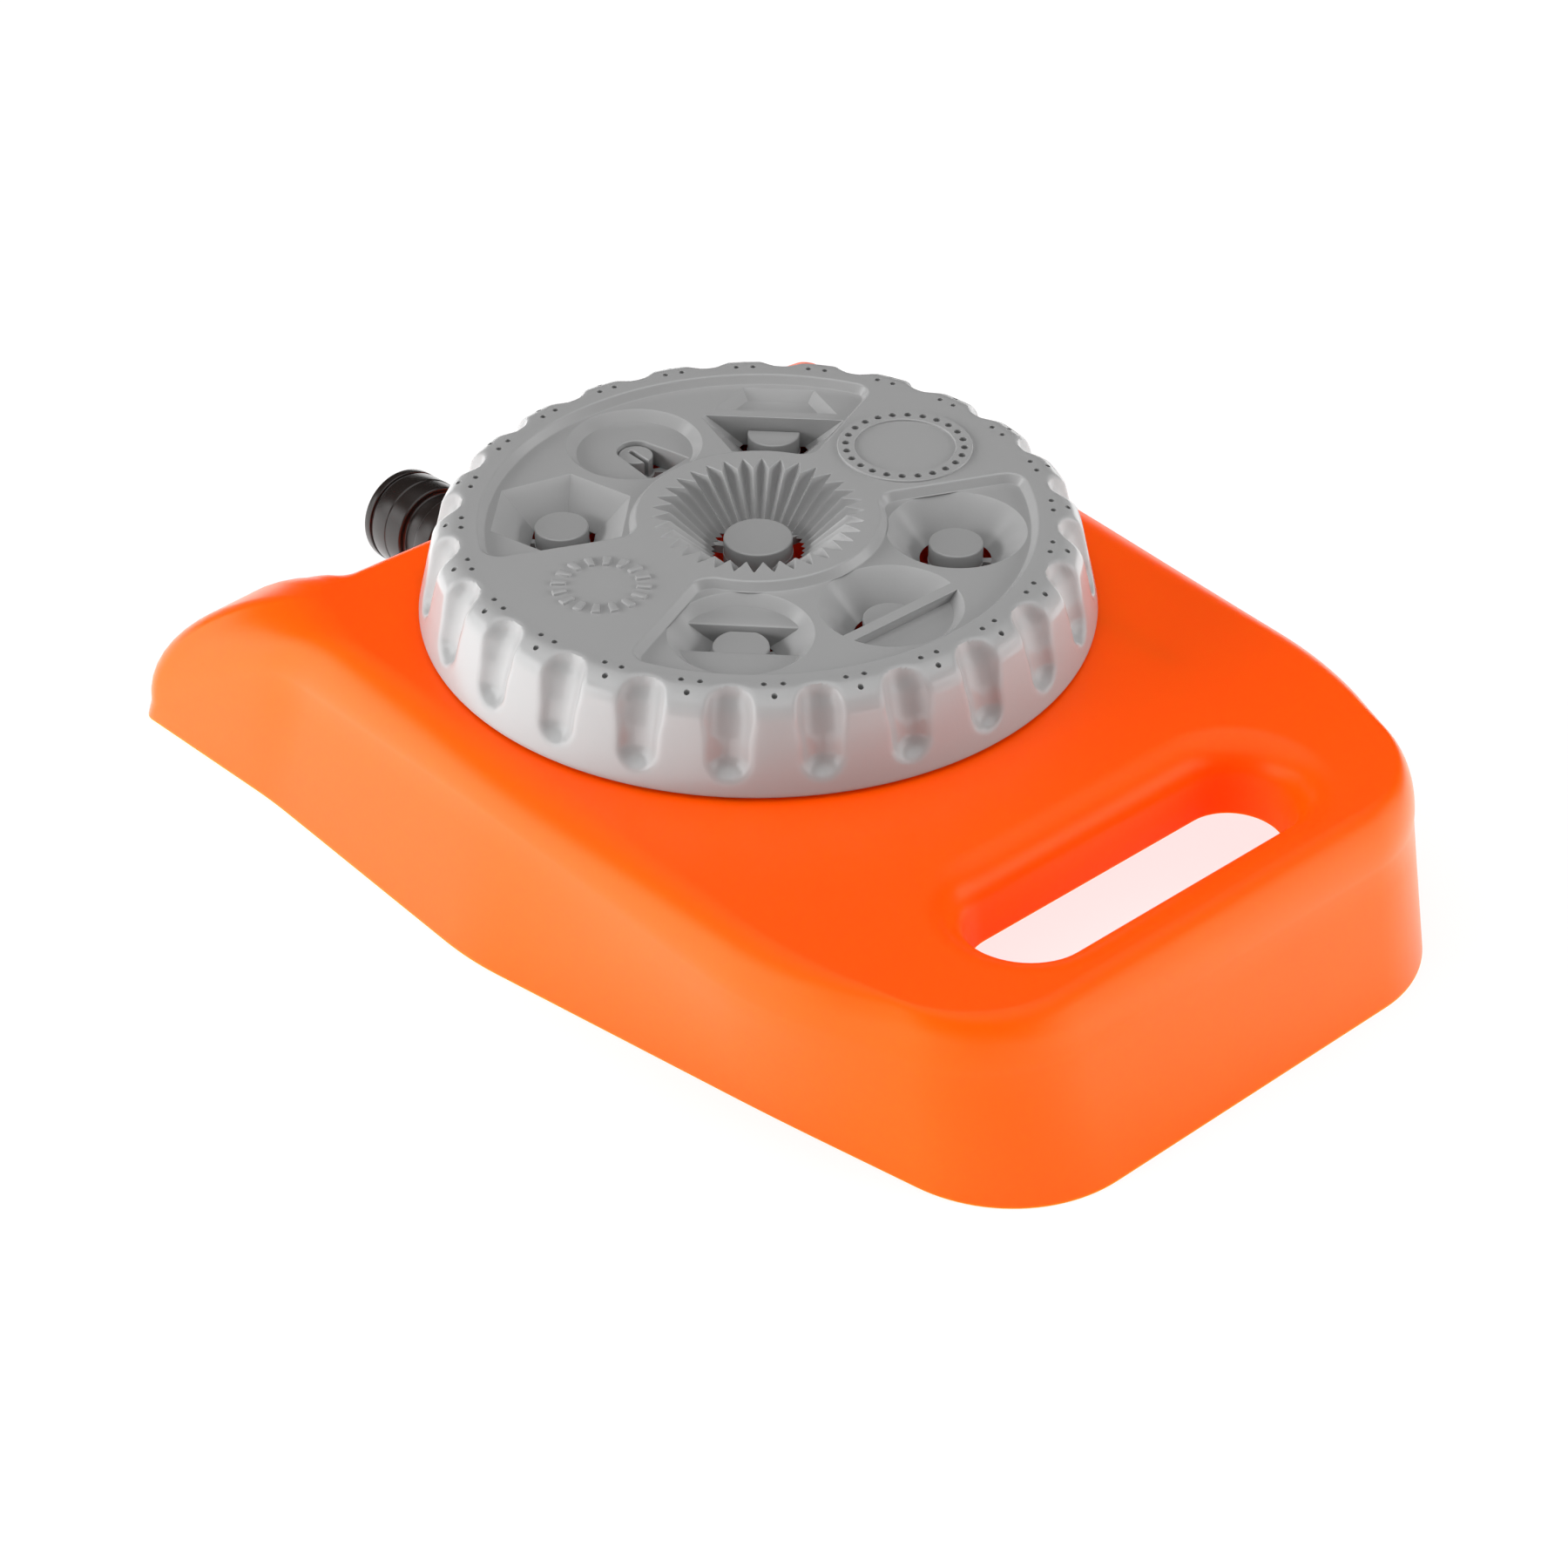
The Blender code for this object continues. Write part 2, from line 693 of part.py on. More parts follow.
join(
    BASE,
    add(
        "hub_boss",
        cylinders("hub_boss", [(0, 0)], HUB_OUTER, HUB_BOTTOM_Z, TRACK_Z - FIT, SPIGOT_SIDES),
    ),
    add(
        "water_box",
        box("water_box", (BOX_LEFT, BOX_FRONT, BOX_BOTTOM_Z), (BOX_RIGHT, BOX_BACK, UNDER_DECK_Z)),
    ),
)
cut(
    BASE,
    add(
        "water_space",
        box(
            "water_space",
            (BOX_LEFT + BOX_WALL, BOX_FRONT + BOX_WALL, 0.0),
            (BOX_RIGHT - BOX_WALL, BOX_BACK - BOX_WALL, DECK_Z - BASE_WALL),
        ),
    ),
)
join(
    BASE,
    add(
        "seal_guide",
        cylinders("seal_guide", SEAL_PLACE, SEAL_GUIDE_OUTER, SEAL_GUIDE_BOTTOM_Z, UNDER_DECK_Z),
    ),
    add(
        "plunger_guide",
        cylinders(
            "plunger_guide", DETENT_PLACE, PLUNGER_GUIDE_OUTER, PLUNGER_GUIDE_BOTTOM_Z,
            UNDER_DECK_Z, SMALL_SIDES,
        ),
    ),
    add(
        "screw_bosses",
        cylinders("screw_bosses", EAR_PLACES, EAR_RADIUS, BOX_BOTTOM_Z, UNDER_DECK_Z, TINY_SIDES),
    ),
    along_nipple("nipple_boss", rod(NIPPLE_BOSS_RADIUS, NIPPLE_BOSS_START, NIPPLE_BOSS_END)),
)
for side, x in (("left", -RIB_X), ("right", RIB_X)):
    rib = box(
        f"rib_{side}",
        (x - RIB_THICKNESS / 2, RIB_FRONT, RIB_BOTTOM_Z),
        (x + RIB_THICKNESS / 2, RIB_BACK, UNDER_DECK_Z),
    )
    join(BASE, add(f"rib_{side}", rib))
CROSS_RIB = box(
    "rib_across",
    (-CROSS_RIB_REACH, CROSS_RIB_Y, RIB_BOTTOM_Z),
    (CROSS_RIB_REACH, CROSS_RIB_Y + RIB_THICKNESS, UNDER_DECK_Z),
)
join(BASE, add("rib_across", CROSS_RIB))
SEAL_SEAT_Z = SEAL_GUIDE_BOTTOM_Z + SEAL_LIP
PLUNGER_SEAT_Z = PLUNGER_GUIDE_BOTTOM_Z + PLUNGER_GUIDE_FLOOR
cut(
    BASE,
    add("hub_bore", cylinders("hub_bore", [(0, 0)], HUB_BORE, 0.0, FACE_Z, SPIGOT_SIDES)),
    add("seal_bore", cylinders("seal_bore", SEAL_PLACE, SEAL_GUIDE_BORE, SEAL_SEAT_Z, FACE_Z)),
    add("seal_throat", cylinders("seal_throat", SEAL_PLACE, SEAL_THROAT, 0.0, FACE_Z)),
    add(
        "plunger_bore",
        cylinders(
            "plunger_bore", DETENT_PLACE, PLUNGER_GUIDE_BORE, PLUNGER_SEAT_Z, FACE_Z, SMALL_SIDES,
        ),
    ),
    add(
        "screw_pilots",
        cylinders(
            "screw_pilots", EAR_PLACES, COVER_PILOT_RADIUS, 0.0, BOX_BOTTOM_Z + COVER_SCREW_LENGTH,
            PILOT_SIDES,
        ),
    ),
    along_nipple(
        "shank_hole",
        [
            (0.0, 0.0),
            (ORING_GROOVE_RADIUS, 0.0),
            (ORING_GROOVE_RADIUS, NIPPLE_BOSS_START + ORING_GROOVE_DEPTH),
            (SHANK_HOLE, NIPPLE_BOSS_START + ORING_GROOVE_DEPTH),
            (SHANK_HOLE, SHANK_END),
            (0.0, SHANK_END),
        ],
    ),
)


# Dial face: a capped skirt with grooves in its rim and recesses in its top


def shoulder():
    """Rounded edge between the flat of the face and the rim."""
    points = []
    for step in range(1, 4):
        turn = math.pi / 2 * step / 3
        reach = (SHOULDER_RADIUS - FACE_FLAT_RADIUS) * math.sin(turn)
        drop = SHOULDER_DROP * (1 - math.cos(turn))
        points.append((FACE_FLAT_RADIUS + reach, FACE_Z - drop))
    return points


def wall_radius(z):
    """Radius of the rim's drafted wall at a height."""
    top = FACE_Z - SHOULDER_DROP
    share = (top - z) / (top - DIAL_BOTTOM_Z)
    return SHOULDER_RADIUS + (DIAL_RADIUS - SHOULDER_RADIUS) * share


def groove_cutters():
    """Round-ended rods laid along the rim, one for each finger groove."""
    low = GROOVE_BOTTOM_Z + GROOVE_RADIUS
    high = GROOVE_TOP_Z - GROOVE_RADIUS
    out = GROOVE_RADIUS - GROOVE_DEPTH
    foot = Vector((wall_radius(low) + out, 0.0, low))
    head = Vector((wall_radius(high) + out, 0.0, high))
    stretch = (head - foot).length
    lean = Matrix.Rotation(math.atan2(head.x - foot.x, head.z - foot.z), 3, "Y")
    shape = bmesh.new()
    for groove in range(GROOVES):
        ball = bmesh.ops.create_uvsphere(shape, u_segments=8, v_segments=6, radius=GROOVE_RADIUS)
        verts = ball["verts"]
        for vert in verts:
            vert.co.z += stretch * (0.5 + 0.5 * math.copysign(abs(vert.co.z) > 1e-5, vert.co.z))
        bmesh.ops.rotate(shape, cent=(0, 0, 0), matrix=lean, verts=verts)
        bmesh.ops.translate(shape, vec=foot, verts=verts)
        turn = Matrix.Rotation(math.tau * groove / GROOVES, 3, "Z")
        bmesh.ops.rotate(shape, cent=(0, 0, 0), matrix=turn, verts=verts)
    return finish("grooves", shape)


def pan_outline(start, end):
    """Ring sector with corners rounded by quarter ellipses."""
    points = []
    for radius, inwards, first, last, steps in (
        (PAN_OUTER, -1, start, end, 18),
        (PAN_INNER, 1, end, start, 10),
    ):
        ease = PAN_CORNER / radius * (1 if last > first else -1)
        rounds = [math.pi / 2 * step / 3 for step in range(4)]
        for turn in rounds:
            depth = PAN_CORNER * (1 - math.sin(turn))
            points.append((radius + inwards * depth, first + ease * (1 - math.cos(turn))))
        for step in range(1, steps):
            points.append((radius, first + ease + (last - first - 2 * ease) * step / steps))
        for turn in reversed(rounds):
            depth = PAN_CORNER * (1 - math.sin(turn))
            points.append((radius + inwards * depth, last - ease * (1 - math.cos(turn))))
    return [(radius * math.cos(turn), radius * math.sin(turn)) for radius, turn in points]


def serrated_ring(grow, z):
    """Tips of the V-grooves alternate with the crests between them."""
    tips = TIP_RADIUS_BELOW + (TIP_RADIUS - TIP_RADIUS_BELOW) * grow
    crests = CREST_RADIUS_BELOW + (CREST_RADIUS - CREST_RADIUS_BELOW) * grow
    ring = []
    for i in range(2 * SERRATIONS):
        radius = tips if i % 2 else crests
        turn = math.pi * i / SERRATIONS
        ring.append((radius * math.cos(turn), radius * math.sin(turn), z))
    return ring


def sloped(name, outline, bottom=UNDER_PLATE_Z):
    """Cutter with 45 degree sides; outline(grow) gives its shape grown from pan level."""
    return loft(
        name,
        [at(outline(bottom - PAN_Z), bottom), at(outline(OVER_PAN), PAN_Z + OVER_PAN)],
    )


def station(number, mesh, look=None, out=0.0):
    """Places a mesh drawn about a station's middle, +X outwards, on the pitch circle."""
    turn = number * STATION_STEP
    reach = PITCH_RADIUS + out
    place = (reach * math.cos(turn), reach * math.sin(turn), 0.0)
    return add(mesh.name, mesh, look, DIAL_AXIS, place, turn)


def hexagon(low, high):
    """Outline of a hexagon with two corners on Y, kept between x = low and x = high."""

    def outline(grow):
        apothem = HEXAGON_APOTHEM + grow
        first = max(low, -apothem) if abs(low) < HEXAGON_APOTHEM else -apothem
        last = min(high, apothem) if abs(high) < HEXAGON_APOTHEM else apothem
        knots = [first, last]
        if first < 0.0 < last:
            knots.insert(1, 0.0)
        upper = [(x, (2 * apothem - abs(x)) / math.sqrt(3)) for x in knots]
        lower = [(x, -y) for x, y in reversed(upper)]
        return upper + lower

    return outline


def channel_outline():
    """Channel with a round outer end, open towards the dial's middle."""
    centre = CHANNEL_END - CHANNEL_HALF
    curve = shifted(arc(CHANNEL_HALF, -math.pi / 2, math.pi / 2, 8), centre, 0.0)
    inner = -CONE_RADIUS + OVER_PAN
    return [(inner, -CHANNEL_HALF), *curve, (inner, CHANNEL_HALF)]


def hooked_post():
    """Round post with a slit open towards the dial's middle."""
    half = math.asin(SLIT_HALF_WIDTH / HOOK_RADIUS)
    curve = arc(HOOK_RADIUS, -math.pi + half, math.pi - half, 14)
    slit = [(SLIT_END, SLIT_HALF_WIDTH), (SLIT_END, -SLIT_HALF_WIDTH)]
    return shifted(curve + slit, CHANNEL_END - CHANNEL_HALF, 0.0)


def ring_sector(inner, outer, start, end, steps):
    return arc(outer, start, end, steps) + arc(inner, end, start, steps)


def windows(inner, outer, places):
    """Three curved windows about each place, with spokes of one width between them."""
    outlines = []
    for x, y, spin in places:
        for i in range(3):
            start = spin + math.tau * i / 3 + SPOKE_HALF_WIDTH / inner
            end = spin + math.tau * (i + 1) / 3 - SPOKE_HALF_WIDTH / inner
            outlines.append(shifted(ring_sector(inner, outer, start, end, 4), x, y))
    return outlines


def on_pitch(number):
    turn = number * STATION_STEP
    return PITCH_RADIUS * math.cos(turn), PITCH_RADIUS * math.sin(turn)


FACE = turned(
    "dial_face",
    [
        (0.0, FACE_Z),
        (FACE_FLAT_RADIUS, FACE_Z),
        *shoulder(),
        (DIAL_RADIUS, DIAL_BOTTOM_Z),
        (SKIRT_INNER_BOTTOM, DIAL_BOTTOM_Z),
        (SKIRT_INNER_TOP, PLATE_BOTTOM_Z),
        (0.0, PLATE_BOTTOM_Z),
    ],
    GREY,
)
PAN_SPANS = [
    (BRIDGE_HALF_ANGLE, math.pi - BRIDGE_HALF_ANGLE),
    (math.pi + BRIDGE_HALF_ANGLE, math.tau - BRIDGE_HALF_ANGLE),
]
PANS = prisms("pans", [pan_outline(*span) for span in PAN_SPANS], PAN_Z, OVER_FACE_Z)
SERRATED_CONE = loft(
    "serrated_cone",
    [
        serrated_ring((UNDER_PLATE_Z - PLATE_BOTTOM_Z) / FACE_PLATE, UNDER_PLATE_Z),
        serrated_ring((OVER_FACE_Z - PLATE_BOTTOM_Z) / FACE_PLATE, OVER_FACE_Z),
    ],
)
SLOT_OUTLINE = [
    (SLOT_INNER, -SLOT_HALF_LENGTH),
    (SLOT_OUTER, -SLOT_HALF_LENGTH),
    (SLOT_OUTER, SLOT_HALF_LENGTH),
    (SLOT_INNER, SLOT_HALF_LENGTH),
]
LEDGE_TOP_Z = LEDGE_Z + OVER_PAN
cut(
    FACE,
    add("grooves", groove_cutters()),
    add("pans", PANS),
    add("serrated_cone", SERRATED_CONE),
    station(CONE, sloped("cone", lambda grow: circle(CONE_RADIUS + grow, BORE_SIDES))),
    station(
        CUT_CONE,
        sloped("cut_cone", lambda grow: trimmed_circle(CONE_RADIUS + grow, CUT_WALL_INNER, 16)),
    ),
    station(
        CUT_CONE,
        sloped(
            "cut_cone_shelf",
            lambda grow: outer_segment(CONE_RADIUS + grow, CUT_WALL_OUTER, 10),
            LEDGE_Z,
        ),
    ),
    station(
        SLOTTED, sloped("slot_shelf", lambda grow: circle(CONE_RADIUS + grow, BORE_SIDES), LEDGE_Z)
    ),
    station(SLOTTED, prisms("slot", [SLOT_OUTLINE], UNDER_PLATE_Z, LEDGE_TOP_Z)),
    station(HEXAGON, sloped("hexagon", hexagon(-1.0, 1.0))),
    station(HALF_HEXAGON, sloped("half_hexagon", hexagon(-1.0, HALF_WALL_INNER))),
    station(
        HALF_HEXAGON,
        sloped("half_hexagon_shelf", hexagon(HALF_WALL_OUTER, 1.0), LEDGE_Z),
    ),
    station(
        HOOKED, sloped("round_shelf", lambda grow: circle(CONE_RADIUS + grow, BORE_SIDES), LEDGE_Z)
    ),
    station(HOOKED, prisms("channel", [channel_outline()], UNDER_PLATE_Z, LEDGE_TOP_Z)),
    station(
        SHOWER,
        cylinders(
            "shower_pocket", [(0, 0)], SHOWER_BAND_OUTER, UNDER_PLATE_Z, SHOWER_POCKET_TOP,
            SMALL_SIDES,
        ),
    ),
)
BAND_TOP_Z = FACE_Z + SHOWER_BAND_HEIGHT
BAND_SPAN = [(SHOWER_BAND_OUTER, BAND_TOP_Z), (SHOWER_BAND_OUTER, FACE_Z - OVER_PAN)]
BAND_SPAN += [(SHOWER_BAND_INNER, FACE_Z - OVER_PAN), (SHOWER_BAND_INNER, BAND_TOP_Z)]
BAND = turned("shower_band", BAND_SPAN, None, DIAL_AXIS, BORE_SIDES, "Z", True)
BAND.location = (PITCH_RADIUS, 0.0, 0.0)
MARK_HALF = MARK_WIDTH / 2
MARKS = []
for block in range(MARK_BLOCKS):
    block_turn = math.tau * block / MARK_BLOCKS
    cosine, sine = math.cos(block_turn), math.sin(block_turn)
    corners = [(MARK_INNER, -MARK_HALF), (MARK_OUTER, -MARK_HALF)]
    corners += [(MARK_OUTER, MARK_HALF), (MARK_INNER, MARK_HALF)]
    MARKS.append([(x * cosine - y * sine, x * sine + y * cosine) for x, y in corners])
join(FACE, BAND)
join(FACE, station(MARK, prisms("mark", MARKS, FACE_Z - OVER_PAN, FACE_Z + MARK_HEIGHT)))
SHOWER_PLACES = circle(SHOWER_RING_RADIUS, SHOWER_HOLES)
cut(
    FACE,
    station(
        SHOWER,
        cylinders(
            "shower_holes", SHOWER_PLACES, SHOWER_HOLE_RADIUS, SHOWER_POCKET_TOP - OVER_PAN,
            OVER_FACE_Z, 5,
        ),
    ),
)


# Deflector plate: a disc with a post under each opening, held by three spokes


DEFLECTOR = turned(
    "deflector_plate",
    [
        (0.0, DEFLECTOR_TOP_Z),
        (PLATE_RADIUS, DEFLECTOR_TOP_Z),
        (PLATE_RADIUS, DEFLECTOR_BOTTOM_Z),
        (0.0, DEFLECTOR_BOTTOM_Z),
    ],
    GREY,
    sides=PLATE_SIDES,
)
POSTED = (HALF_HEXAGON, HOOKED, HEXAGON, SLOTTED, CUT_CONE, CONE)
ROUND_WINDOWS = windows(
    WINDOW_INNER, WINDOW_OUTER, [(*on_pitch(number), number * STATION_STEP) for number in POSTED]
)
MIDDLE_WINDOWS = windows(MIDDLE_WINDOW_INNER, MIDDLE_WINDOW_OUTER, [(0.0, 0.0, 0.0)])
SHOWER_WINDOW = [shifted(circle(WINDOW_OUTER, SMALL_SIDES), PITCH_RADIUS, 0.0)]
ALL_WINDOWS = ROUND_WINDOWS + MIDDLE_WINDOWS + SHOWER_WINDOW
cut(
    DEFLECTOR,
    add(
        "windows",
        prisms("windows", ALL_WINDOWS, DEFLECTOR_BOTTOM_Z - OVER_PAN, DEFLECTOR_TOP_Z + OVER_PAN),
    ),
)
POST_FOOT_Z = DEFLECTOR_TOP_Z - DEFLECTOR_THICKNESS / 2
ROUND_POST = circle(POST_RADIUS, SMALL_SIDES)
POST_SHAPES = {
    HALF_HEXAGON: trimmed_circle(POST_RADIUS, HALF_WALL_INNER - POST_GAP, 11),
    HOOKED: hooked_post(),
    HEXAGON: ROUND_POST,
    SLOTTED: band_of_circle(POST_RADIUS, SLOT_INNER + POST_GAP, SLOT_OUTER - POST_GAP, 6),
    CUT_CONE: trimmed_circle(POST_RADIUS, CUT_WALL_INNER - POST_GAP, 11),
    CONE: ROUND_POST,
}
for number, outline in POST_SHAPES.items():
    post = prisms(f"post_{number}", [outline], POST_FOOT_Z, POST_Z)
    join(DEFLECTOR, station(number, post))
join(
    DEFLECTOR,
    add(
        "middle_post",
        cylinders("middle_post", [(0, 0)], MIDDLE_POST_RADIUS, POST_FOOT_Z, MIDDLE_POST_Z),
    ),
)


# Chamber plate: the flat track with a walled chamber over each port, and the spigot


CHAMBER = turned(
    "chamber_plate",
    [
        (0.0, FLOOR_Z),
        (PLATE_RADIUS - CHAMBER_WALL, FLOOR_Z),
        (PLATE_RADIUS - CHAMBER_WALL, CHAMBER_TOP_Z),
        (PLATE_RADIUS, CHAMBER_TOP_Z),
        (PLATE_RADIUS, TRACK_Z),
        (0.0, TRACK_Z),
    ],
    RED,
    sides=PLATE_SIDES,
)
STATION_PLACES = [on_pitch(number) for number in range(8)]
WALLS_FOOT_Z = FLOOR_Z - TRACK_THICKNESS / 2
ABOVE_Z = CHAMBER_TOP_Z + OVER_PAN
MARK_X = on_pitch(MARK)[0]
CHANNEL_OUT = CHANNEL_WIDTH / 2 + CHAMBER_WALL
join(
    CHAMBER,
    add(
        "chamber_walls",
        cylinders(
            "chamber_walls", STATION_PLACES, CHAMBER_RADIUS + CHAMBER_WALL, WALLS_FOOT_Z,
            CHAMBER_TOP_Z, SMALL_SIDES,
        ),
    ),
    add(
        "middle_wall",
        cylinders(
            "middle_wall", [(0, 0)], MIDDLE_CHAMBER_RADIUS + CHAMBER_WALL, WALLS_FOOT_Z,
            CHAMBER_TOP_Z, SMALL_SIDES,
        ),
    ),
    add(
        "channel_walls",
        box(
            "channel_walls", (MARK_X, -CHANNEL_OUT, WALLS_FOOT_Z), (0.0, CHANNEL_OUT, CHAMBER_TOP_Z)
        ),
    ),
    add(
        "spigot",
        cylinders("spigot", [(0, 0)], SPIGOT_RADIUS, HUB_BOTTOM_Z, WALLS_FOOT_Z, SPIGOT_SIDES),
    ),
)
DIMPLE_PLACES = [
    (x * DETENT_RADIUS / PITCH_RADIUS, y * DETENT_RADIUS / PITCH_RADIUS) for x, y in STATION_PLACES
]
cut(
    CHAMBER,
    add(
        "chambers",
        cylinders("chambers", STATION_PLACES, CHAMBER_RADIUS, FLOOR_Z, ABOVE_Z, SMALL_SIDES),
    ),
    add(
        "middle_chamber",
        cylinders("middle_chamber", [(0, 0)], MIDDLE_CHAMBER_RADIUS, FLOOR_Z, ABOVE_Z, SMALL_SIDES),
    ),
    add(
        "channel_space",
        box(
            "channel_space", (MARK_X, -CHANNEL_WIDTH / 2, FLOOR_Z), (0.0, CHANNEL_WIDTH / 2, ABOVE_Z)
        ),
    ),
    add(
        "ports",
        cylinders(
            "ports", STATION_PLACES, PORT_RADIUS, TRACK_Z - OVER_PAN, FLOOR_Z + OVER_PAN,
            TINY_SIDES,
        ),
    ),
    add(
        "dimples",
        cylinders(
            "dimples", DIMPLE_PLACES, DIMPLE_RADIUS + DIMPLE_DEPTH, TRACK_Z - DIMPLE_DEPTH / 2,
            TRACK_Z + DIMPLE_DEPTH, PILOT_SIDES, DIMPLE_RADIUS - 2 * DIMPLE_DEPTH,
        ),
    ),
    add(
        "spigot_pilot",
        cylinders(
            "spigot_pilot", [(0, 0)], PILOT_RADIUS, 0.0, TRACK_Z - TRACK_THICKNESS, TINY_SIDES
        ),
    ),
)


# Screw and washer that hold the spigot in the hub


WASHER_TOP_Z = HUB_BOTTOM_Z - FIT
WASHER_BOTTOM_Z = WASHER_TOP_Z - WASHER_THICKNESS
HEAD_TOP_Z = WASHER_BOTTOM_Z - FIT
HEAD_BOTTOM_Z = HEAD_TOP_Z - SCREW_HEAD_HEIGHT
WASHER_HOLE = SCREW_RADIUS + FIT
turned(
    "dial_washer",
    [
        (HUB_OUTER, WASHER_TOP_Z),
        (HUB_OUTER, WASHER_BOTTOM_Z),
        (WASHER_HOLE, WASHER_BOTTOM_Z),
        (WASHER_HOLE, WASHER_TOP_Z),
    ],
    STEEL,
    sides=SPIGOT_SIDES,
    closed=True,
)


def screw_profile(head_radius, head_bottom, head_height, radius, length):
    """Pan head below, shank above, with a small lead at the end of the shank."""
    head_top = head_bottom + head_height
    end = head_top + length
    lead = radius / 3
    return [
        (0.0, end),
        (radius - lead, end),
        (radius, end - lead),
        (radius, head_top),
        (head_radius, head_top),
        (head_radius, head_bottom + head_height / 2),
        (head_radius * 0.8, head_bottom),
        (0.0, head_bottom),
    ]


def cross_slots(name, places, radius, bottom, top):
    """Crossed slots in the undersides of screw heads, as one cutter for each direction."""
    made = []
    for direction, (long, short) in (("x", (1.0, 0.22)), ("y", (0.22, 1.0))):
        outlines = []
        for x, y in places:
            a, b = radius * long, radius * short
            outlines.append([(x - a, y - b), (x + a, y - b), (x + a, y + b), (x - a, y + b)])
        cutter = f"{name}_{direction}"
        made.append(add(cutter, prisms(cutter, outlines, bottom, top)))
    return made


DIAL_SCREW = turned(
    "dial_screw",
    screw_profile(
        SCREW_HEAD_RADIUS, HEAD_BOTTOM_Z, SCREW_HEAD_HEIGHT, SCREW_RADIUS, DIAL_SCREW_LENGTH
    ),
    STEEL,
    sides=SMALL_SIDES,
)
cut(
    DIAL_SCREW,
    *cross_slots(
        "dial_screw_slot", [(0, 0)], SCREW_HEAD_RADIUS * 0.6, HEAD_BOTTOM_Z - OVER_PAN,
        HEAD_BOTTOM_Z + SCREW_HEAD_HEIGHT / 2,
    ),
)


# Seal and its spring


SEAL_TOP_Z = TRACK_Z - FIT
SEAL_BOTTOM_Z = SEAL_TOP_Z - SEAL_HEIGHT
SEAL_STEP_Z = SEAL_TOP_Z - SEAL_HEIGHT / 2
turned(
    "port_seal",
    [
        (SEAL_RADIUS - FIT, SEAL_TOP_Z),
        (SEAL_RADIUS, SEAL_TOP_Z - FIT),
        (SEAL_RADIUS, SEAL_BOTTOM_Z),
        (SEAL_RADIUS - SEAL_SKIRT, SEAL_BOTTOM_Z),
        (SEAL_RADIUS - SEAL_SKIRT, SEAL_STEP_Z),
        (SEAL_BORE, SEAL_STEP_Z),
        (SEAL_BORE, SEAL_TOP_Z),
    ],
    RUBBER,
    SEAL_AXIS,
    BORE_SIDES,
    closed=True,
)
spring(
    "seal_spring", SEAL_SPRING_RADIUS, SEAL_SPRING_WIRE, SEAL_SPRING_TURNS, SEAL_SEAT_Z + FIT,
    SEAL_BOTTOM_Z - FIT, SEAL_AXIS,
)


# Detent plunger and its spring


PLUNGER_SHOULDER_Z = PLUNGER_TIP_Z - PLUNGER_DOME
DOME = []
for step in range(5):
    slant = math.pi / 2 * step / 4
    height = PLUNGER_SHOULDER_Z + PLUNGER_DOME * math.cos(slant)
    DOME.append((PLUNGER_RADIUS * math.sin(slant), height))
turned(
    "detent_plunger",
    [
        *DOME,
        (PLUNGER_RADIUS, PLUNGER_BOTTOM_Z),
        (PLUNGER_STEM_RADIUS, PLUNGER_BOTTOM_Z),
        (PLUNGER_STEM_RADIUS, PLUNGER_BOTTOM_Z - PLUNGER_STEM_LENGTH),
        (0.0, PLUNGER_BOTTOM_Z - PLUNGER_STEM_LENGTH),
    ],
    ACETAL,
    DETENT_AXIS,
    SMALL_SIDES,
)
spring(
    "detent_spring", PLUNGER_SPRING_RADIUS, PLUNGER_SPRING_WIRE, PLUNGER_SPRING_TURNS,
    PLUNGER_SEAT_Z + FIT, PLUNGER_BOTTOM_Z - FIT, DETENT_AXIS,
)


# Gasket, cover and screws that close the water box


GASKET_TOP_Z = BOX_BOTTOM_Z - FIT
GASKET_BOTTOM_Z = GASKET_TOP_Z - GASKET_THICKNESS
COVER_TOP_Z = GASKET_BOTTOM_Z - FIT
COVER_BOTTOM_Z = COVER_TOP_Z - COVER_THICKNESS
GASKET = add(
    "box_gasket",
    box("box_gasket", (BOX_LEFT, BOX_FRONT, GASKET_BOTTOM_Z), (BOX_RIGHT, BOX_BACK, GASKET_TOP_Z)),
    RUBBER,
)
cut(
    GASKET,
    add(
        "gasket_space",
        box(
            "gasket_space",
            (BOX_LEFT + BOX_WALL, BOX_FRONT + BOX_WALL, GASKET_BOTTOM_Z - OVER_PAN),
            (BOX_RIGHT - BOX_WALL, BOX_BACK - BOX_WALL, GASKET_TOP_Z + OVER_PAN),
        ),
    ),
)
COVER = add(
    "box_cover",
    box("box_cover", (BOX_LEFT, BOX_FRONT, COVER_BOTTOM_Z), (BOX_RIGHT, BOX_BACK, COVER_TOP_Z)),
    BLACK,
)
join(
    COVER,
    add(
        "cover_ears",
        cylinders(
            "cover_ears", EAR_PLACES, EAR_RADIUS, COVER_BOTTOM_Z, COVER_TOP_Z, TINY_SIDES
        ),
    ),
)
cut(
    COVER,
    add(
        "cover_holes",
        cylinders(
            "cover_holes", EAR_PLACES, COVER_PILOT_RADIUS, COVER_BOTTOM_Z - OVER_PAN,
            COVER_TOP_Z + OVER_PAN, PILOT_SIDES,
        ),
    ),
)
COVER_HEAD_BOTTOM_Z = COVER_BOTTOM_Z - FIT - COVER_HEAD_HEIGHT
for number, (x, y) in enumerate(EAR_PLACES, 1):
    screw = turned(
        f"cover_screw_{number}",
        screw_profile(
            COVER_HEAD_RADIUS, COVER_HEAD_BOTTOM_Z, COVER_HEAD_HEIGHT, COVER_SCREW_RADIUS,
            COVER_SCREW_LENGTH,
        ),
        STEEL,
        sides=TINY_SIDES,
    )
    screw.location = (x, y, 0.0)


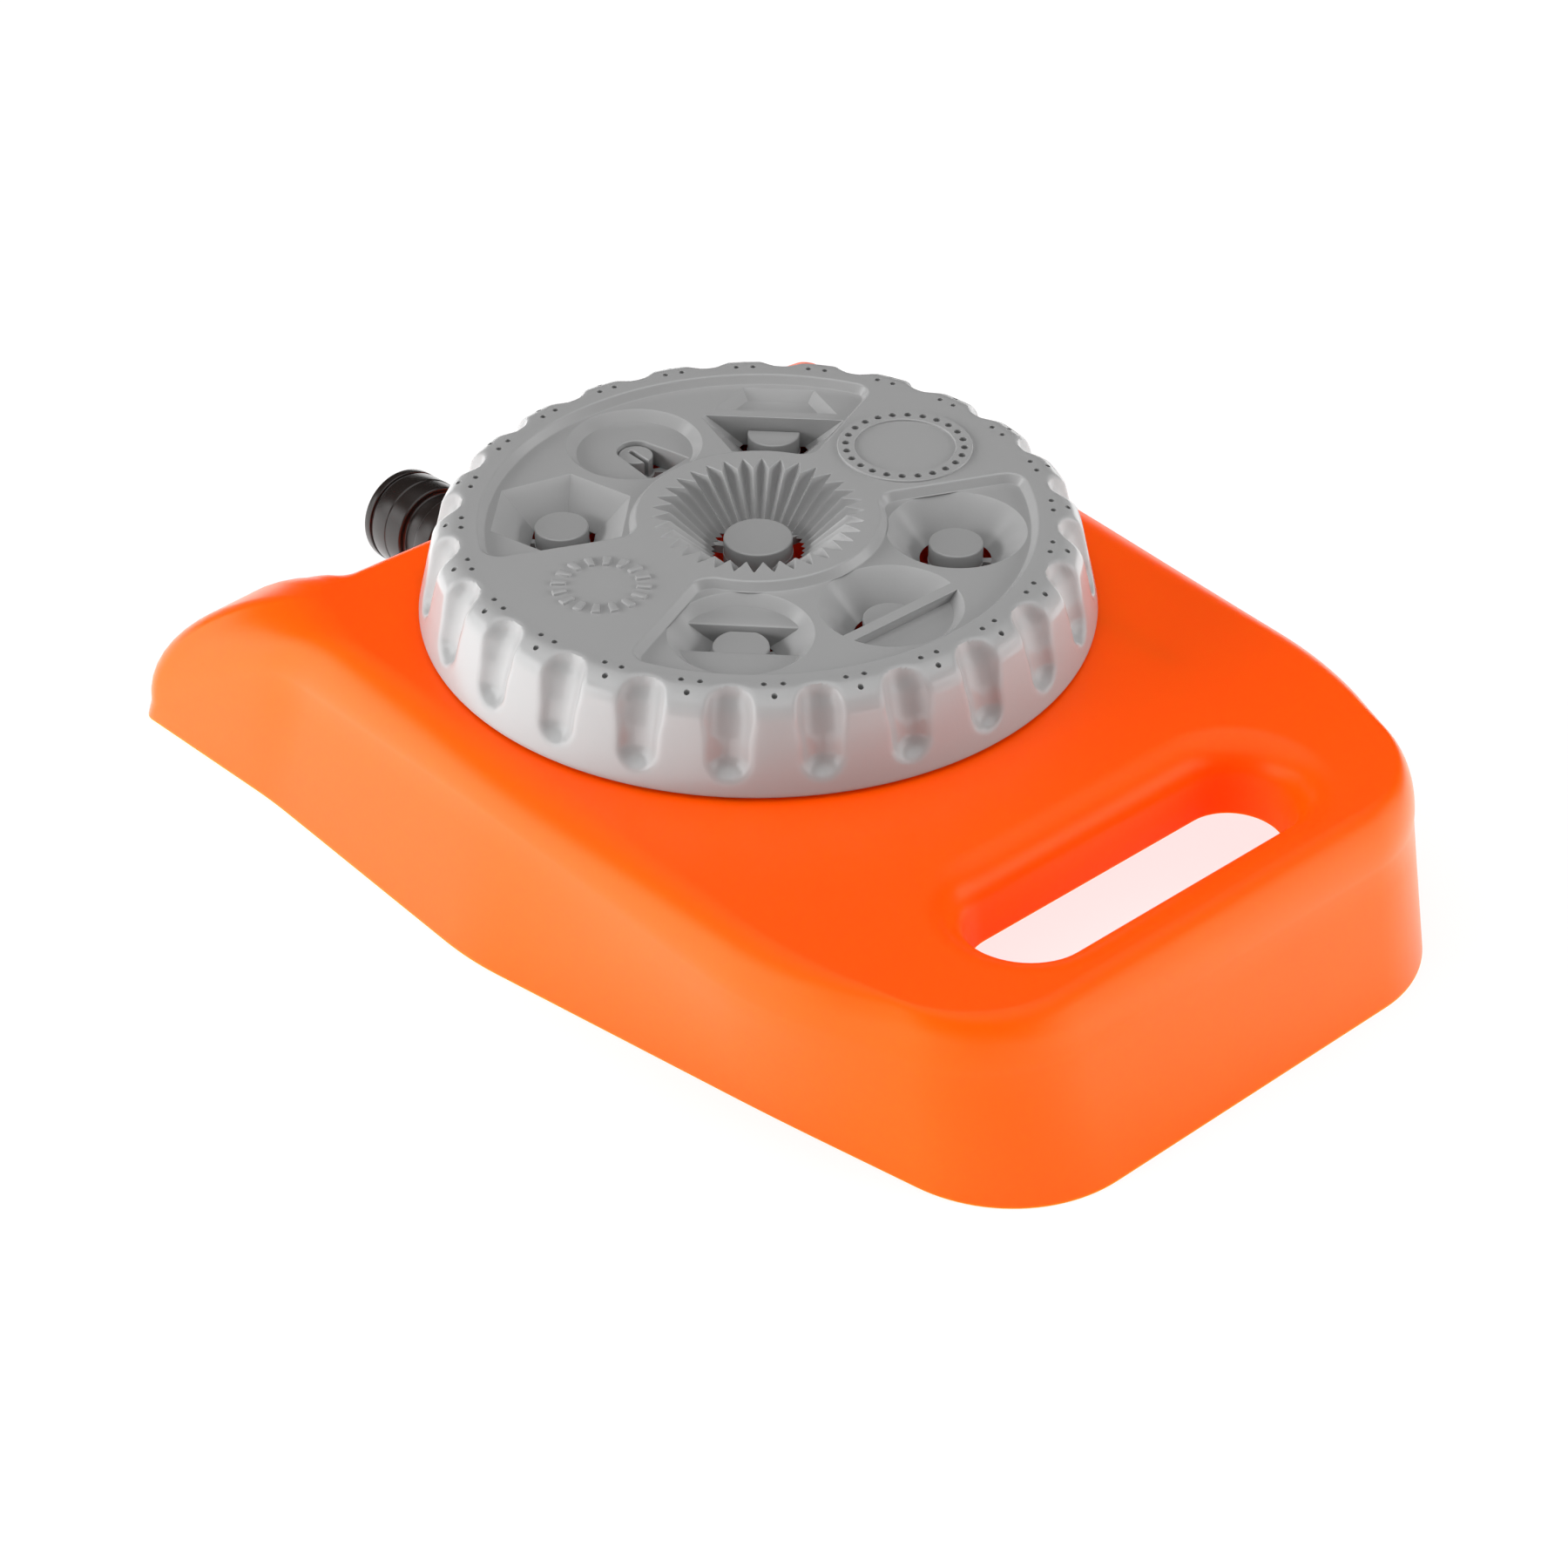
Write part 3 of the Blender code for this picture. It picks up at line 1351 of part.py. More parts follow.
# Hose nipple, its strainer, O-ring and nut


along_nipple(
    "hose_nipple",
    [
        (NIPPLE_RADIUS - NIPPLE_CHAMFER, 0.0),
        (NIPPLE_RADIUS, NIPPLE_CHAMFER),
        (NIPPLE_RADIUS, TIP_RING_END),
        (NIPPLE_LINE, TIP_RING_END),
        (NIPPLE_LINE, TIP_RING_END + TIP_LINE),
        (NIPPLE_RADIUS, TIP_RING_END + TIP_LINE),
        (NIPPLE_RADIUS, BARREL_END),
        (NIPPLE_WAIST, BARREL_END),
        (NIPPLE_WAIST, COLLAR_START),
        (NIPPLE_RADIUS, COLLAR_START),
        (NIPPLE_RADIUS, COLLAR_END),
        (NIPPLE_WAIST, COLLAR_END),
        (NIPPLE_WAIST, FLANGE_START),
        (FLANGE_RADIUS, FLANGE_START),
        (FLANGE_RADIUS, FLANGE_START + FLANGE_THICKNESS),
        (SHANK_RADIUS, FLANGE_START + FLANGE_THICKNESS),
        (SHANK_RADIUS, SHANK_END),
        (SHANK_BORE, SHANK_END),
        (SHANK_BORE, STRAINER_INSET + STRAINER_THICKNESS + FIT),
        (NIPPLE_BORE, STRAINER_INSET + STRAINER_THICKNESS + FIT),
        (NIPPLE_BORE, 0.0),
    ],
    BLACK,
    closed=True,
)
STRAINER = along_nipple(
    "inlet_strainer",
    rod(STRAINER_RADIUS, STRAINER_INSET, STRAINER_INSET + STRAINER_THICKNESS),
    STEEL,
    SMALL_SIDES,
)
MESH_PLACES = [(0.0, 0.0), *circle(STRAINER_PITCH, 6)]
MESH_HOLES = add(
    "strainer_holes",
    cylinders(
        "strainer_holes", MESH_PLACES, STRAINER_HOLE, -OVER_PAN, 2 * STRAINER_INSET, WIRE_SIDES
    ),
    None,
    NIPPLE_AXIS,
)
MESH_HOLES.rotation_euler = (math.pi / 2, 0.0, 0.0)
cut(STRAINER, MESH_HOLES)
ORING_PROFILE = [
    (
        ORING_RADIUS + ORING_WIRE * math.cos(math.tau * i / WIRE_SIDES),
        NIPPLE_BOSS_START + ORING_WIRE * (1 + math.sin(math.tau * i / WIRE_SIDES)),
    )
    for i in range(WIRE_SIDES)
]
along_nipple("nipple_oring", ORING_PROFILE, RUBBER, BORE_SIDES, closed=True)
NUT = along_nipple(
    "nipple_nut",
    rod(NUT_RADIUS, NIPPLE_BOSS_END + FIT, NIPPLE_BOSS_END + FIT + NUT_THICKNESS),
    BLACK,
    6,
)
cut(NUT, along_nipple("nut_hole", rod(SHANK_HOLE, NIPPLE_BOSS_END - FIT, SHANK_END + FIT)))
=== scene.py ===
# %% [markdown]
# # Garden sprinkler with a turning dial
#
# The sprinkler stands on a low orange moulding with a carrying handle in front, two feet
# behind and a hose nipple between them. A grey dial turns on it and brings one of eight
# spray patterns over the water port. All sizes are in millimetres about the dial's axis,
# with heights above the ground, and only the last step of each piece turns them to metres.

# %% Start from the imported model
import json
import math

import bmesh
import bpy
import numpy as np
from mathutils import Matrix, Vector
from mathutils.geometry import delaunay_2d_cdt

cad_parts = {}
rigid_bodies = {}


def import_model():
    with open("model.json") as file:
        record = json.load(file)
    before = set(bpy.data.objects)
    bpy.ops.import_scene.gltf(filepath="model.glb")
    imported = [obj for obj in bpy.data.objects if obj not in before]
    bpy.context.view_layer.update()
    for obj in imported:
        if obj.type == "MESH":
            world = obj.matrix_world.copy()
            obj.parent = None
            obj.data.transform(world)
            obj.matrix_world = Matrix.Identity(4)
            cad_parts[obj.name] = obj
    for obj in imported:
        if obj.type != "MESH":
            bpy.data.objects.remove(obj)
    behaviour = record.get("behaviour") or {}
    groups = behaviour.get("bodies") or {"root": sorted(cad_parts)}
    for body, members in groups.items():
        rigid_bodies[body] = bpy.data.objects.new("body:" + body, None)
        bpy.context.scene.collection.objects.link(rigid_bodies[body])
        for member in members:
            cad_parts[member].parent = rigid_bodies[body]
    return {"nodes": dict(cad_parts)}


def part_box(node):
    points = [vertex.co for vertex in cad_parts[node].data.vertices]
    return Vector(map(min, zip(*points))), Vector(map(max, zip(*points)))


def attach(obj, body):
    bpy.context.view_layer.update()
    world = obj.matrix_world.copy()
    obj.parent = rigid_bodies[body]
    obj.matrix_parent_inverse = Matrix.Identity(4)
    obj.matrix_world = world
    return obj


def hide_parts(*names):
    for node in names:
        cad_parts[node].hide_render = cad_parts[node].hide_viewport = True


for leftover in list(bpy.data.objects):
    bpy.data.objects.remove(leftover)
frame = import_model()
bpy.context.scene.view_settings.view_transform = "Standard"
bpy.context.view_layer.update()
DIAL_LOW, DIAL_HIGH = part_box("dial_face")
AXIS_Y = (DIAL_LOW[1] + DIAL_HIGH[1]) / 2
print("dial axis at y", round(AXIS_Y, 5), "m")

# %% [markdown]
# ## Helpers for surfaces
#
# A piece is a list of patches. A patch is points with the faces that join them: a grid of
# two parameters, or a flat filled outline. Patches of one piece share their border points,
# so that welding them makes one smooth skin.


# %% Grids and fills
def grid(points, wrap=False, flip=False):
    """Patch of P(i, j): one face joins P(i, j), P(i, j+1), P(i+1, j+1) and P(i+1, j)."""
    rows, columns = points.shape[:2]
    index = np.arange(rows * columns).reshape(rows, columns)
    if wrap:
        index = np.hstack([index, index[:, :1]])
    faces = [index[:-1, :-1], index[:-1, 1:], index[1:, 1:], index[1:, :-1]]
    faces = np.stack(faces[::-1] if flip else faces, -1).reshape(-1, 4)
    return points.reshape(-1, 3), faces


def crossings(points, outline):
    """How many sides of the outline a ray from each point to the right crosses."""
    start, end = outline, np.roll(outline, -1, 0)
    x, y = points[:, None, 0], points[:, None, 1]
    rise = end[:, 1] - start[:, 1]
    share = (y - start[:, 1]) / np.where(rise == 0, 1.0, rise)
    passes = (start[:, 1] > y) != (end[:, 1] > y)
    return (passes & (start[:, 0] + share * (end - start)[:, 0] > x)).sum(1)


def fill(outlines, height, up=True):
    """Flat patch at one height: triangles whose middle has an odd count of crossings."""
    edges = []
    for outline in outlines:
        count = len(edges)
        size = len(outline)
        edges += [(count + i, count + (i + 1) % size) for i in range(size)]
    flat = [Vector(point) for point in np.concatenate(outlines)]
    places, _, faces, _, _, _ = delaunay_2d_cdt(flat, edges, [], 1, 1e-6)
    places = np.array([place[:] for place in places])
    faces = np.array(faces)
    middle = places[faces].mean(1)
    faces = faces[sum(crossings(middle, outline) for outline in outlines) % 2 == 1]
    a, b, c = places[faces[:, 0]], places[faces[:, 1]], places[faces[:, 2]]
    area = (b[:, 0] - a[:, 0]) * (c[:, 1] - a[:, 1]) - (b[:, 1] - a[:, 1]) * (c[:, 0] - a[:, 0])
    turn = (area < 0) == up
    faces[turn] = faces[turn][:, ::-1]
    return np.c_[places, np.full(len(places), height)], faces


# %% [markdown]
# ### Outlines
#
# An outline is a closed row of points (x, y), anticlockwise seen from above. It is made of
# arcs and straight sides, and moving it outwards gives the next row of a wall. Drawing with
# outlines keeps the piece close to how it would be dimensioned on paper.


# %% Outlines
def grown(outline, distance):
    """Outline moved outwards: p + d (n1 + n2) / (1 + n1 . n2), for one that runs anticlockwise."""
    ahead = np.roll(outline, -1, 0) - outline
    ahead /= np.linalg.norm(ahead, axis=1, keepdims=True)
    normal = np.c_[ahead[:, 1], -ahead[:, 0]]
    before = np.roll(normal, 1, 0)
    share = 1 + (normal * before).sum(1, keepdims=True)
    return outline + distance * (normal + before) / np.maximum(share, 0.3)


def at(outline, height):
    """Outline as points in space at one height."""
    return np.c_[outline, np.full(len(outline), height)]


def arc(radius, start, end, count):
    """Points radius (cos a, sin a) with a from start to end."""
    angle = np.linspace(start, end, count)
    return radius * np.c_[np.cos(angle), np.sin(angle)]


def circle(radius, count=96):
    """Closed circle, anticlockwise, without a doubled first point."""
    return arc(radius, 0.0, 2 * np.pi, count + 1)[:-1]


def rectangle(low, high):
    """Corners of a rectangle between two opposite ones, anticlockwise."""
    return [low, (high[0], low[1]), high, (low[0], high[1])]


def rounded(corners, radius, steps=6):
    """Closed outline through corners, each replaced by an arc of the radius."""
    corners = np.array(corners, float)
    back = np.roll(corners, 1, 0) - corners
    ahead = np.roll(corners, -1, 0) - corners
    back /= np.linalg.norm(back, axis=1, keepdims=True)
    ahead /= np.linalg.norm(ahead, axis=1, keepdims=True)
    half = np.arccos(np.clip((back * ahead).sum(1), -1, 1)) / 2
    middle = back + ahead
    middle /= np.linalg.norm(middle, axis=1, keepdims=True)
    centre = corners + middle * (radius / np.sin(half))[:, None]
    start = corners + back * (radius / np.tan(half))[:, None] - centre
    side = np.sign(back[:, 0] * ahead[:, 1] - back[:, 1] * ahead[:, 0])
    sweep = -side * (np.pi - 2 * half)
    points = []
    for i in range(len(corners)):
        turn = np.linspace(0.0, sweep[i], steps)
        spun = np.c_[
            start[i, 0] * np.cos(turn) - start[i, 1] * np.sin(turn),
            start[i, 0] * np.sin(turn) + start[i, 1] * np.cos(turn),
        ]
        points.append(centre[i] + spun)
    return np.concatenate(points)


# %% [markdown]
# ### Roundings and walls
#
# No moulded edge is sharp. A profile lists (outwards, height) from an edge, and carrying it
# round an outline gives a wall with its roundings in one surface. A turned piece is the same
# with a circle, as on a lathe.

# %% Profiles, walls and turned surfaces
# Width of the narrow flat that each rounding starts with
NARROW = 0.05


def brim(radius, fall=90.0, steps=5):
    """Rounding where a flat turns down by fall degrees, as (outwards, height) from its edge.

    The arc is (T - r sin t, r cos t - r) with T = r tan(fall / 2), after a narrow flat.
    """
    fall = math.radians(fall)
    reach = radius * math.tan(fall / 2)
    angle = np.linspace(0.0, fall, steps)
    bend = np.c_[reach - radius * np.sin(angle), radius * np.cos(angle) - radius]
    return np.r_[[(reach + NARROW, 0.0)], bend]


def foot(radius, fall=90.0, steps=4):
    """Rounding where a wall that falls by fall degrees meets a floor, (outwards, height)."""
    rows = brim(radius, fall, steps)
    return -rows[::-1]


def slanted(depth, fall, top, bottom):
    """Profile of a wall that falls by an angle between two roundings, centred on its outline."""
    run = depth / math.tan(math.radians(fall))
    return np.r_[brim(top, fall) + (run / 2, 0.0), foot(bottom, fall) - (run / 2, depth)]


def ribbon(outline, profile, height, flip=False):
    """Wall round an outline: P(i, j) = outline j moved out by profile i, at its height."""
    rows = [at(grown(outline, out), height + rise) for out, rise in profile]
    return grid(np.stack(rows), wrap=True, flip=flip)


def turned(profile, count=72):
    """Surface P(i, j) = (r cos a, r sin a, z) of a closed profile of points (r, z)."""
    radius, height = np.r_[profile, profile[:1]].T
    angle = np.arange(count) * 2 * np.pi / count
    points = np.stack([
        radius[:, None] * np.cos(angle), radius[:, None] * np.sin(angle),
        np.repeat(height[:, None], count, 1),
    ], -1)
    return grid(points, wrap=True)


def moved(patches, turn=0.0, x=0.0, y=0.0):
    """Patches turned about the vertical and then shifted."""
    cosine, sine = math.cos(turn), math.sin(turn)
    spin = np.array([[cosine, sine, 0.0], [-sine, cosine, 0.0], [0.0, 0.0, 1.0]])
    return [(points @ spin + (x, y, 0.0), faces) for points, faces in patches]


# %% [markdown]
# ### From patches to pieces
#
# One function welds the patches and turns millimetres to metres, one shows the result on its
# body, and two make holes: a closed tool is cut out with a Boolean, which stays exact where
# a hole meets a curved skin.


# %% Meshes, pieces and holes
def mesh_of(name, patches, weld=0.002, sharp=35.0):
    """One mesh of all patches, welded, smooth below the angle sharp, in metres."""
    mesh = bpy.data.meshes.new(name)
    count = 0
    points, faces = [], []
    for places, joined in patches:
        points.append(places)
        faces += (joined + count).tolist()
        count += len(places)
    points = (np.concatenate(points) / 1000 + (0.0, AXIS_Y, 0.0)).tolist()
    mesh.from_pydata(points, [], faces)
    shape = bmesh.new()
    shape.from_mesh(mesh)
    bmesh.ops.remove_doubles(shape, verts=shape.verts, dist=weld / 1000)
    bmesh.ops.dissolve_degenerate(shape, dist=1e-7, edges=shape.edges)
    shape.to_mesh(mesh)
    shape.free()
    mesh.shade_smooth()
    mesh.set_sharp_from_angle(angle=math.radians(sharp))
    return mesh


def piece(mesh, look, body, slot, *nodes):
    """Shows the mesh on a body with a finish, in place of CAD nodes."""
    obj = bpy.data.objects.new(mesh.name, mesh)
    bpy.context.scene.collection.objects.link(obj)
    mesh.materials.clear()
    mesh.materials.append(look)
    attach(obj, body)
    if nodes:
        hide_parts(*nodes)
    print(mesh.name, len(mesh.polygons), "faces")
    return obj


def settled(obj, sharp=35.0):
    """Works an object's modifiers into its mesh and takes them off."""
    bpy.context.view_layer.update()
    graph = bpy.context.evaluated_depsgraph_get()
    mesh = bpy.data.meshes.new_from_object(obj.evaluated_get(graph))
    mesh.name = obj.name
    obj.modifiers.clear()
    obj.data = mesh
    mesh.shade_smooth()
    mesh.set_sharp_from_angle(angle=math.radians(sharp))


def cutter(name, patches):
    """Hidden closed shape for a Boolean."""
    obj = bpy.data.objects.new(name, mesh_of(name, patches))
    bpy.context.scene.collection.objects.link(obj)
    return obj


def cut(obj, tool):
    """Takes the tool's shape out of obj and removes the tool."""
    step = obj.modifiers.new(tool.name, "BOOLEAN")
    step.operation = "DIFFERENCE"
    step.solver = "EXACT"
    step.object = tool
    settled(obj)
    bpy.data.objects.remove(tool)


def rod(outline, bottom, top):
    """Closed upright prism of an anticlockwise outline."""
    wall = np.stack([at(outline, top), at(outline, bottom)])
    return [grid(wall, True, True), fill([outline], top), fill([outline], bottom, False)]


# %% [markdown]
# ## Materials
#
# Each finish is named for the real material. The moulded plastics get a faint mottle of
# colour and gloss and a very fine grain, which is what a polished steel mould leaves, and
# polypropylene lets a little light through at thin edges.


# %% Node helper and colours
def linear(code):
    """sRGB hex code as the linear colour that a shader reads."""
    values = [int(code[i : i + 2], 16) / 255 for i in (1, 3, 5)]
    return [v / 12.92 if v <= 0.04045 else ((v + 0.055) / 1.055) ** 2.4 for v in values] + [1.0]


def node(tree, kind, inputs=None, **settings):
    """Adds a node; inputs maps a socket to a value or to another node's output."""
    made = tree.nodes.new("ShaderNode" + kind)
    for key, value in settings.items():
        setattr(made, key, value)
    for key, value in (inputs or {}).items():
        if isinstance(value, bpy.types.NodeSocket):
            tree.links.new(value, made.inputs[key])
        else:
            made.inputs[key].default_value = value
    return made


def finish(name, colour, other, roughness, spread=0.06, grain=0.00001, scale=1400.0, **shader):
    """Plastic, rubber or metal: colour and gloss drift between two values, with a grain."""
    look = bpy.data.materials.new(name)
    look.use_nodes = True
    tree = look.node_tree
    tree.nodes.clear()
    place = node(tree, "TexCoord").outputs["Object"]
    drift = node(tree, "TexNoise", {"Vector": place, "Scale": 28.0, "Detail": 3.0}).outputs["Fac"]
    fine = node(tree, "TexNoise", {"Vector": place, "Scale": scale, "Detail": 2.0}).outputs["Fac"]
    tint = node(
        tree, "Mix", {0: drift, 6: linear(colour), 7: linear(other)}, data_type="RGBA"
    ).outputs[2]
    gloss = node(
        tree,
        "MapRange",
        {"Value": drift, "From Min": 0.3, "From Max": 0.7, "To Min": roughness - spread / 2,
         "To Max": roughness + spread / 2},
    ).outputs["Result"]
    bump = node(tree, "Bump", {"Height": fine, "Distance": grain, "Strength": 1.0}).outputs["Normal"]
    inputs = {"Base Color": tint, "Roughness": gloss, "Normal": bump, **shader}
    surface = node(tree, "BsdfPrincipled", inputs)
    output = node(tree, "OutputMaterial")
    tree.links.new(surface.outputs["BSDF"], output.inputs["Surface"])
    return look


# %% [markdown]
# ### Finishes of the sprinkler
#
# The base is orange polypropylene, a waxy plastic that light enters a little, so its glints
# are warm. The dial is grey ABS with a higher polish, the nipple is black nylon, and the plate
# in the depth of the openings is a redder polypropylene. Seals are nitrile rubber, screws and
# springs stainless steel, and the detent plunger is white acetal, which slides well.

# %% Finishes
ORANGE = finish(
    "moulded_polypropylene_orange", "#FF5600", "#FF5000", 0.33, IOR=1.43,
    **{"Subsurface Weight": 0.35, "Subsurface Radius": (1.0, 0.45, 0.05), "Subsurface Scale": 0.004,
       "Specular Tint": (1.0, 0.68, 0.34, 1.0)},
)
RED = finish("moulded_polypropylene_red", "#F8480C", "#F0400A", 0.40, IOR=1.49)
GREY = finish(
    "moulded_abs_grey", "#979797", "#939393", 0.20, IOR=1.53,
    **{"Subsurface Weight": 0.10, "Subsurface Radius": (1.0, 1.0, 1.0), "Subsurface Scale": 0.001},
)
BLACK = finish("moulded_nylon_black", "#150F0D", "#1B1411", 0.28, IOR=1.50)
RUBBER = finish("nitrile_rubber", "#2A2A2B", "#232323", 0.62, IOR=1.52, grain=0.00002)
STEEL = finish("stainless_steel", "#C6C6C3", "#BDBDBB", 0.28, Metallic=1.0, scale=3000.0)
ACETAL = finish("moulded_acetal_white", "#E2E2DE", "#DADAD6", 0.38, IOR=1.48)

# %% [markdown]
# ## Dial rim
#
# The rim of the dial is a drafted wall with a rounded shoulder, and fingers turn the dial by
# it. Its profile goes from the face over the shoulder and down the wall to a small lip, then
# up the inside. It could be turned on a lathe, so it is a surface of angle and profile,
# P(a, s) = (r(s) cos a, r(s) sin a, z(s)).

# %% Profile of the rim
# Heights of the dial's face, of the space for the deflector plate and of the rim's lower edge
FACE = 48.4
PLATE = FACE - 7.0
RIM_FOOT = 32.1
# Radii where the face ends, where the shoulder starts and where the wall ends
RIM_INNER = 48.6
SHOULDER_START = 50.0
RIM_RADIUS = 57.5
# Half axes of the shoulder's ellipse, and how far round it the shoulder goes
SHOULDER_WIDTH, SHOULDER_DROP = 4.8, 5.0
SHOULDER_TURN = 80.0
LIP = 0.5
FLAT_STEPS = 4
SHOULDER_STEPS = 18
WALL_STEPS = 26
LIP_STEPS = 4


def line(start, end, count):
    """Points from start to end, without the last one."""
    share = np.linspace(0.0, 1.0, count, endpoint=False)[:, None]
    return np.array(start) + (np.array(end) - np.array(start)) * share


def rim_profile():
    """Closed profile (radius, height) of the rim, down its outside and up its inside.

    The shoulder is the ellipse (r + w sin t, z - d (1 - cos t)).
    """
    turn = np.radians(np.linspace(0.0, SHOULDER_TURN, SHOULDER_STEPS + 1))
    out, down = SHOULDER_WIDTH * np.sin(turn), SHOULDER_DROP * (1 - np.cos(turn))
    shoulder = np.c_[SHOULDER_START + out, FACE - down]
    turn = np.radians(np.linspace(0.0, 90.0, LIP_STEPS + 1))
    lip = np.c_[RIM_RADIUS - LIP + LIP * np.cos(turn), RIM_FOOT + LIP - LIP * np.sin(turn)]
    return np.concatenate([
        line((RIM_INNER, FACE), (SHOULDER_START, FACE), FLAT_STEPS),
        shoulder[:-1],
        line(shoulder[-1], lip[0], WALL_STEPS),
        lip,
        line((56.0, RIM_FOOT), (53.2, RIM_FOOT), 3),
        line((52.8, RIM_FOOT + 0.4), (51.0, PLATE), 8),
        line((51.0, PLATE), (RIM_INNER, PLATE), 2),
        line((RIM_INNER, PLATE), (RIM_INNER, FACE), 3),
    ])


# %% [markdown]
# ### Finger grooves
#
# The rim has 24 upright grooves, as a ball cutter leaves them that runs down the rim. So each
# point moves inwards, P(a, s) + d n(s), by the depth d at which it clears the ball, and d is
# softened at the groove's edge. A formula keeps the edges of the grooves clean, where a
# Boolean on so fine a grid can leave slivers.

# %% Rim surface and its grooves
GROOVES = 24
# The ball's centre runs through these places, as (radius, height over the face)
GROOVE_PATH = [(53.9, 0.1), (55.65, -1.6), (56.5, -3.9), (57.8, -9.4)]
GROOVE_RADIUS = 3.8
GROOVE_BLEND = 0.5
GROOVE_EDGE = 0.9
# Grooves may reach down to the middle of the lip
GROOVED_ROWS = FLAT_STEPS + SHOULDER_STEPS + WALL_STEPS + LIP_STEPS // 2 + 1


def soft_max(value, width):
    """max(v, 0) with its corner rounded over the width: adds (w - |v|)^2 / 4w near zero."""
    return np.maximum(value, 0) + np.maximum(width - np.abs(value), 0) ** 2 / (4 * width)


def rim_points(columns=40 * GROOVES):
    """P(a, s), moved inwards along the profile's normal until it clears the ball."""
    profile = rim_profile()
    step = np.roll(profile, -1, 0) - np.roll(profile, 1, 0)
    step /= np.linalg.norm(step, axis=1, keepdims=True)
    inward = np.c_[step[:, 1], -step[:, 0]]
    outside = np.arange(len(profile)) < GROOVED_ROWS
    angle = np.arange(columns) * 2 * np.pi / columns
    lane = 2 * np.pi / GROOVES
    off = (angle + lane / 2) % lane - lane / 2
    knots = np.array([(radius, 0.0, FACE + height) for radius, height in GROOVE_PATH])
    start = np.stack([
        profile[:, None, 0] * np.cos(off), profile[:, None, 0] * np.sin(off),
        np.repeat(profile[:, 1:2], columns, 1),
    ], -1)
    way = np.stack([
        inward[:, None, 0] * np.cos(off), inward[:, None, 0] * np.sin(off),
        np.repeat(inward[:, 1:2], columns, 1),
    ], -1)

    def clearance(points):
        """Distance to the ball: soft minimum -b ln sum exp(-d / b) over the path's parts."""
        gaps = []
        for head, toe in zip(knots, knots[1:]):
            axis = toe - head
            share = np.clip(((points - head) @ axis) / (axis @ axis), 0.0, 1.0)
            gaps.append(np.linalg.norm(points - head - share[..., None] * axis, axis=-1))
        nearest = -GROOVE_BLEND * np.log(np.exp(-np.array(gaps) / GROOVE_BLEND).sum(0))
        return nearest - GROOVE_RADIUS

    depth = np.zeros(start.shape[:2])
    for _ in range(10):
        depth += np.maximum(-clearance(start + way * depth[..., None]), 0.0)
    depth = np.where(depth > 0, depth, -clearance(start))
    depth = soft_max(depth, GROOVE_EDGE) * outside[:, None]
    points = start + way * depth[..., None]
    cosine, sine = np.cos(angle - off), np.sin(angle - off)
    return np.stack([
        points[..., 0] * cosine - points[..., 1] * sine,
        points[..., 0] * sine + points[..., 1] * cosine, points[..., 2],
    ], -1)


RIM_POINTS = rim_points()
RIM_POINTS = np.concatenate([RIM_POINTS, RIM_POINTS[:1]])
RIM = piece(
    mesh_of("dial_rim", [grid(RIM_POINTS, wrap=True, flip=True)]), GREY, "dial", "grey_abs",
    "dial_face",
)

# %% [markdown]
# ### Small holes
#
# A group of three small holes lies between each two grooves, two on the face and one on the
# shoulder. They show only as dark dots, so they are drawn as blind holes. Pins in the mould
# would leave them, and here upright rods are cut out of the rim with a Boolean.

# %% Small holes in the rim's shoulder
HOLE_RADIUS = 0.5
HOLE_DEPTH = 2.5
# Places in a group, as (radius, sideways)
HOLE_GROUP = ((49.4, -1.5), (49.4, 1.5), (52.0, 0.0))
# Cutters start this far above what they cut
ABOVE = 1.0
hole = rod(circle(HOLE_RADIUS, 16), FACE - HOLE_DEPTH, FACE + ABOVE)
small_holes = []
for group in range(GROOVES):
    turn = (group + 0.5) * 2 * np.pi / GROOVES
    for radius, side in HOLE_GROUP:
        small_holes += moved(moved(hole, 0.0, radius, side), turn)
cut(RIM, cutter("small_holes", small_holes))
print("rim with", len(HOLE_GROUP) * GROOVES, "holes:", len(RIM.data.polygons), "faces")

# %% [markdown]
# ## Dial face
#
# The face is the moulding that the eye goes to. Two shallow pans lie on either side of a
# bridge, and each station of the pans has its own opening: its shape is the shape of the
# spray. Every edge has a small rounding. A wall is a surface of outline and depth, P(i, j)
# = outline j at depth i, and the flats between walls are filled outlines. That follows the
# mould, where one cutter goes round each outline and gives its wall a slope.

# %% Outlines of the openings
PITCH = 33.2
PAN = FACE - 1.5
PAN_INNER = 21.0
PAN_OUTER = 46.2
PAN_CORNER = 3.0
LEDGE = FACE - 3.2
# Openings run down to just above the deflector plate
OPENING_FOOT = PLATE - 0.25
CONE_RADIUS = 11.8
HEX_APOTHEM = 11.0
ROUND = 0.2


def pan_outline(start, end):
    """Ring sector between two angles with rounded corners, anticlockwise."""
    points = []
    for radius, inwards, first, last in ((PAN_OUTER, -1, start, end), (PAN_INNER, 1, end, start)):
        ease = PAN_CORNER / radius * (1 if last > first else -1)
        turn = np.linspace(0.0, np.pi / 2, 9)
        depth = inwards * PAN_CORNER * (1 - np.sin(turn))
        points.append(np.c_[radius + depth, first + ease * (1 - np.cos(turn))])
        run = np.linspace(0.0, 1.0, 80)[1:-1]
        along = first + ease + (last - first - 2 * ease) * run
        points.append(np.c_[np.full(len(run), radius), along])
        points.append(np.c_[radius + depth, last - ease * (1 - np.cos(turn))][::-1])
    radius, angle = np.concatenate(points).T
    return np.c_[radius * np.cos(angle), radius * np.sin(angle)]


def cone(grow):
    """Circle of a round station."""
    return circle(CONE_RADIUS + grow, 120)


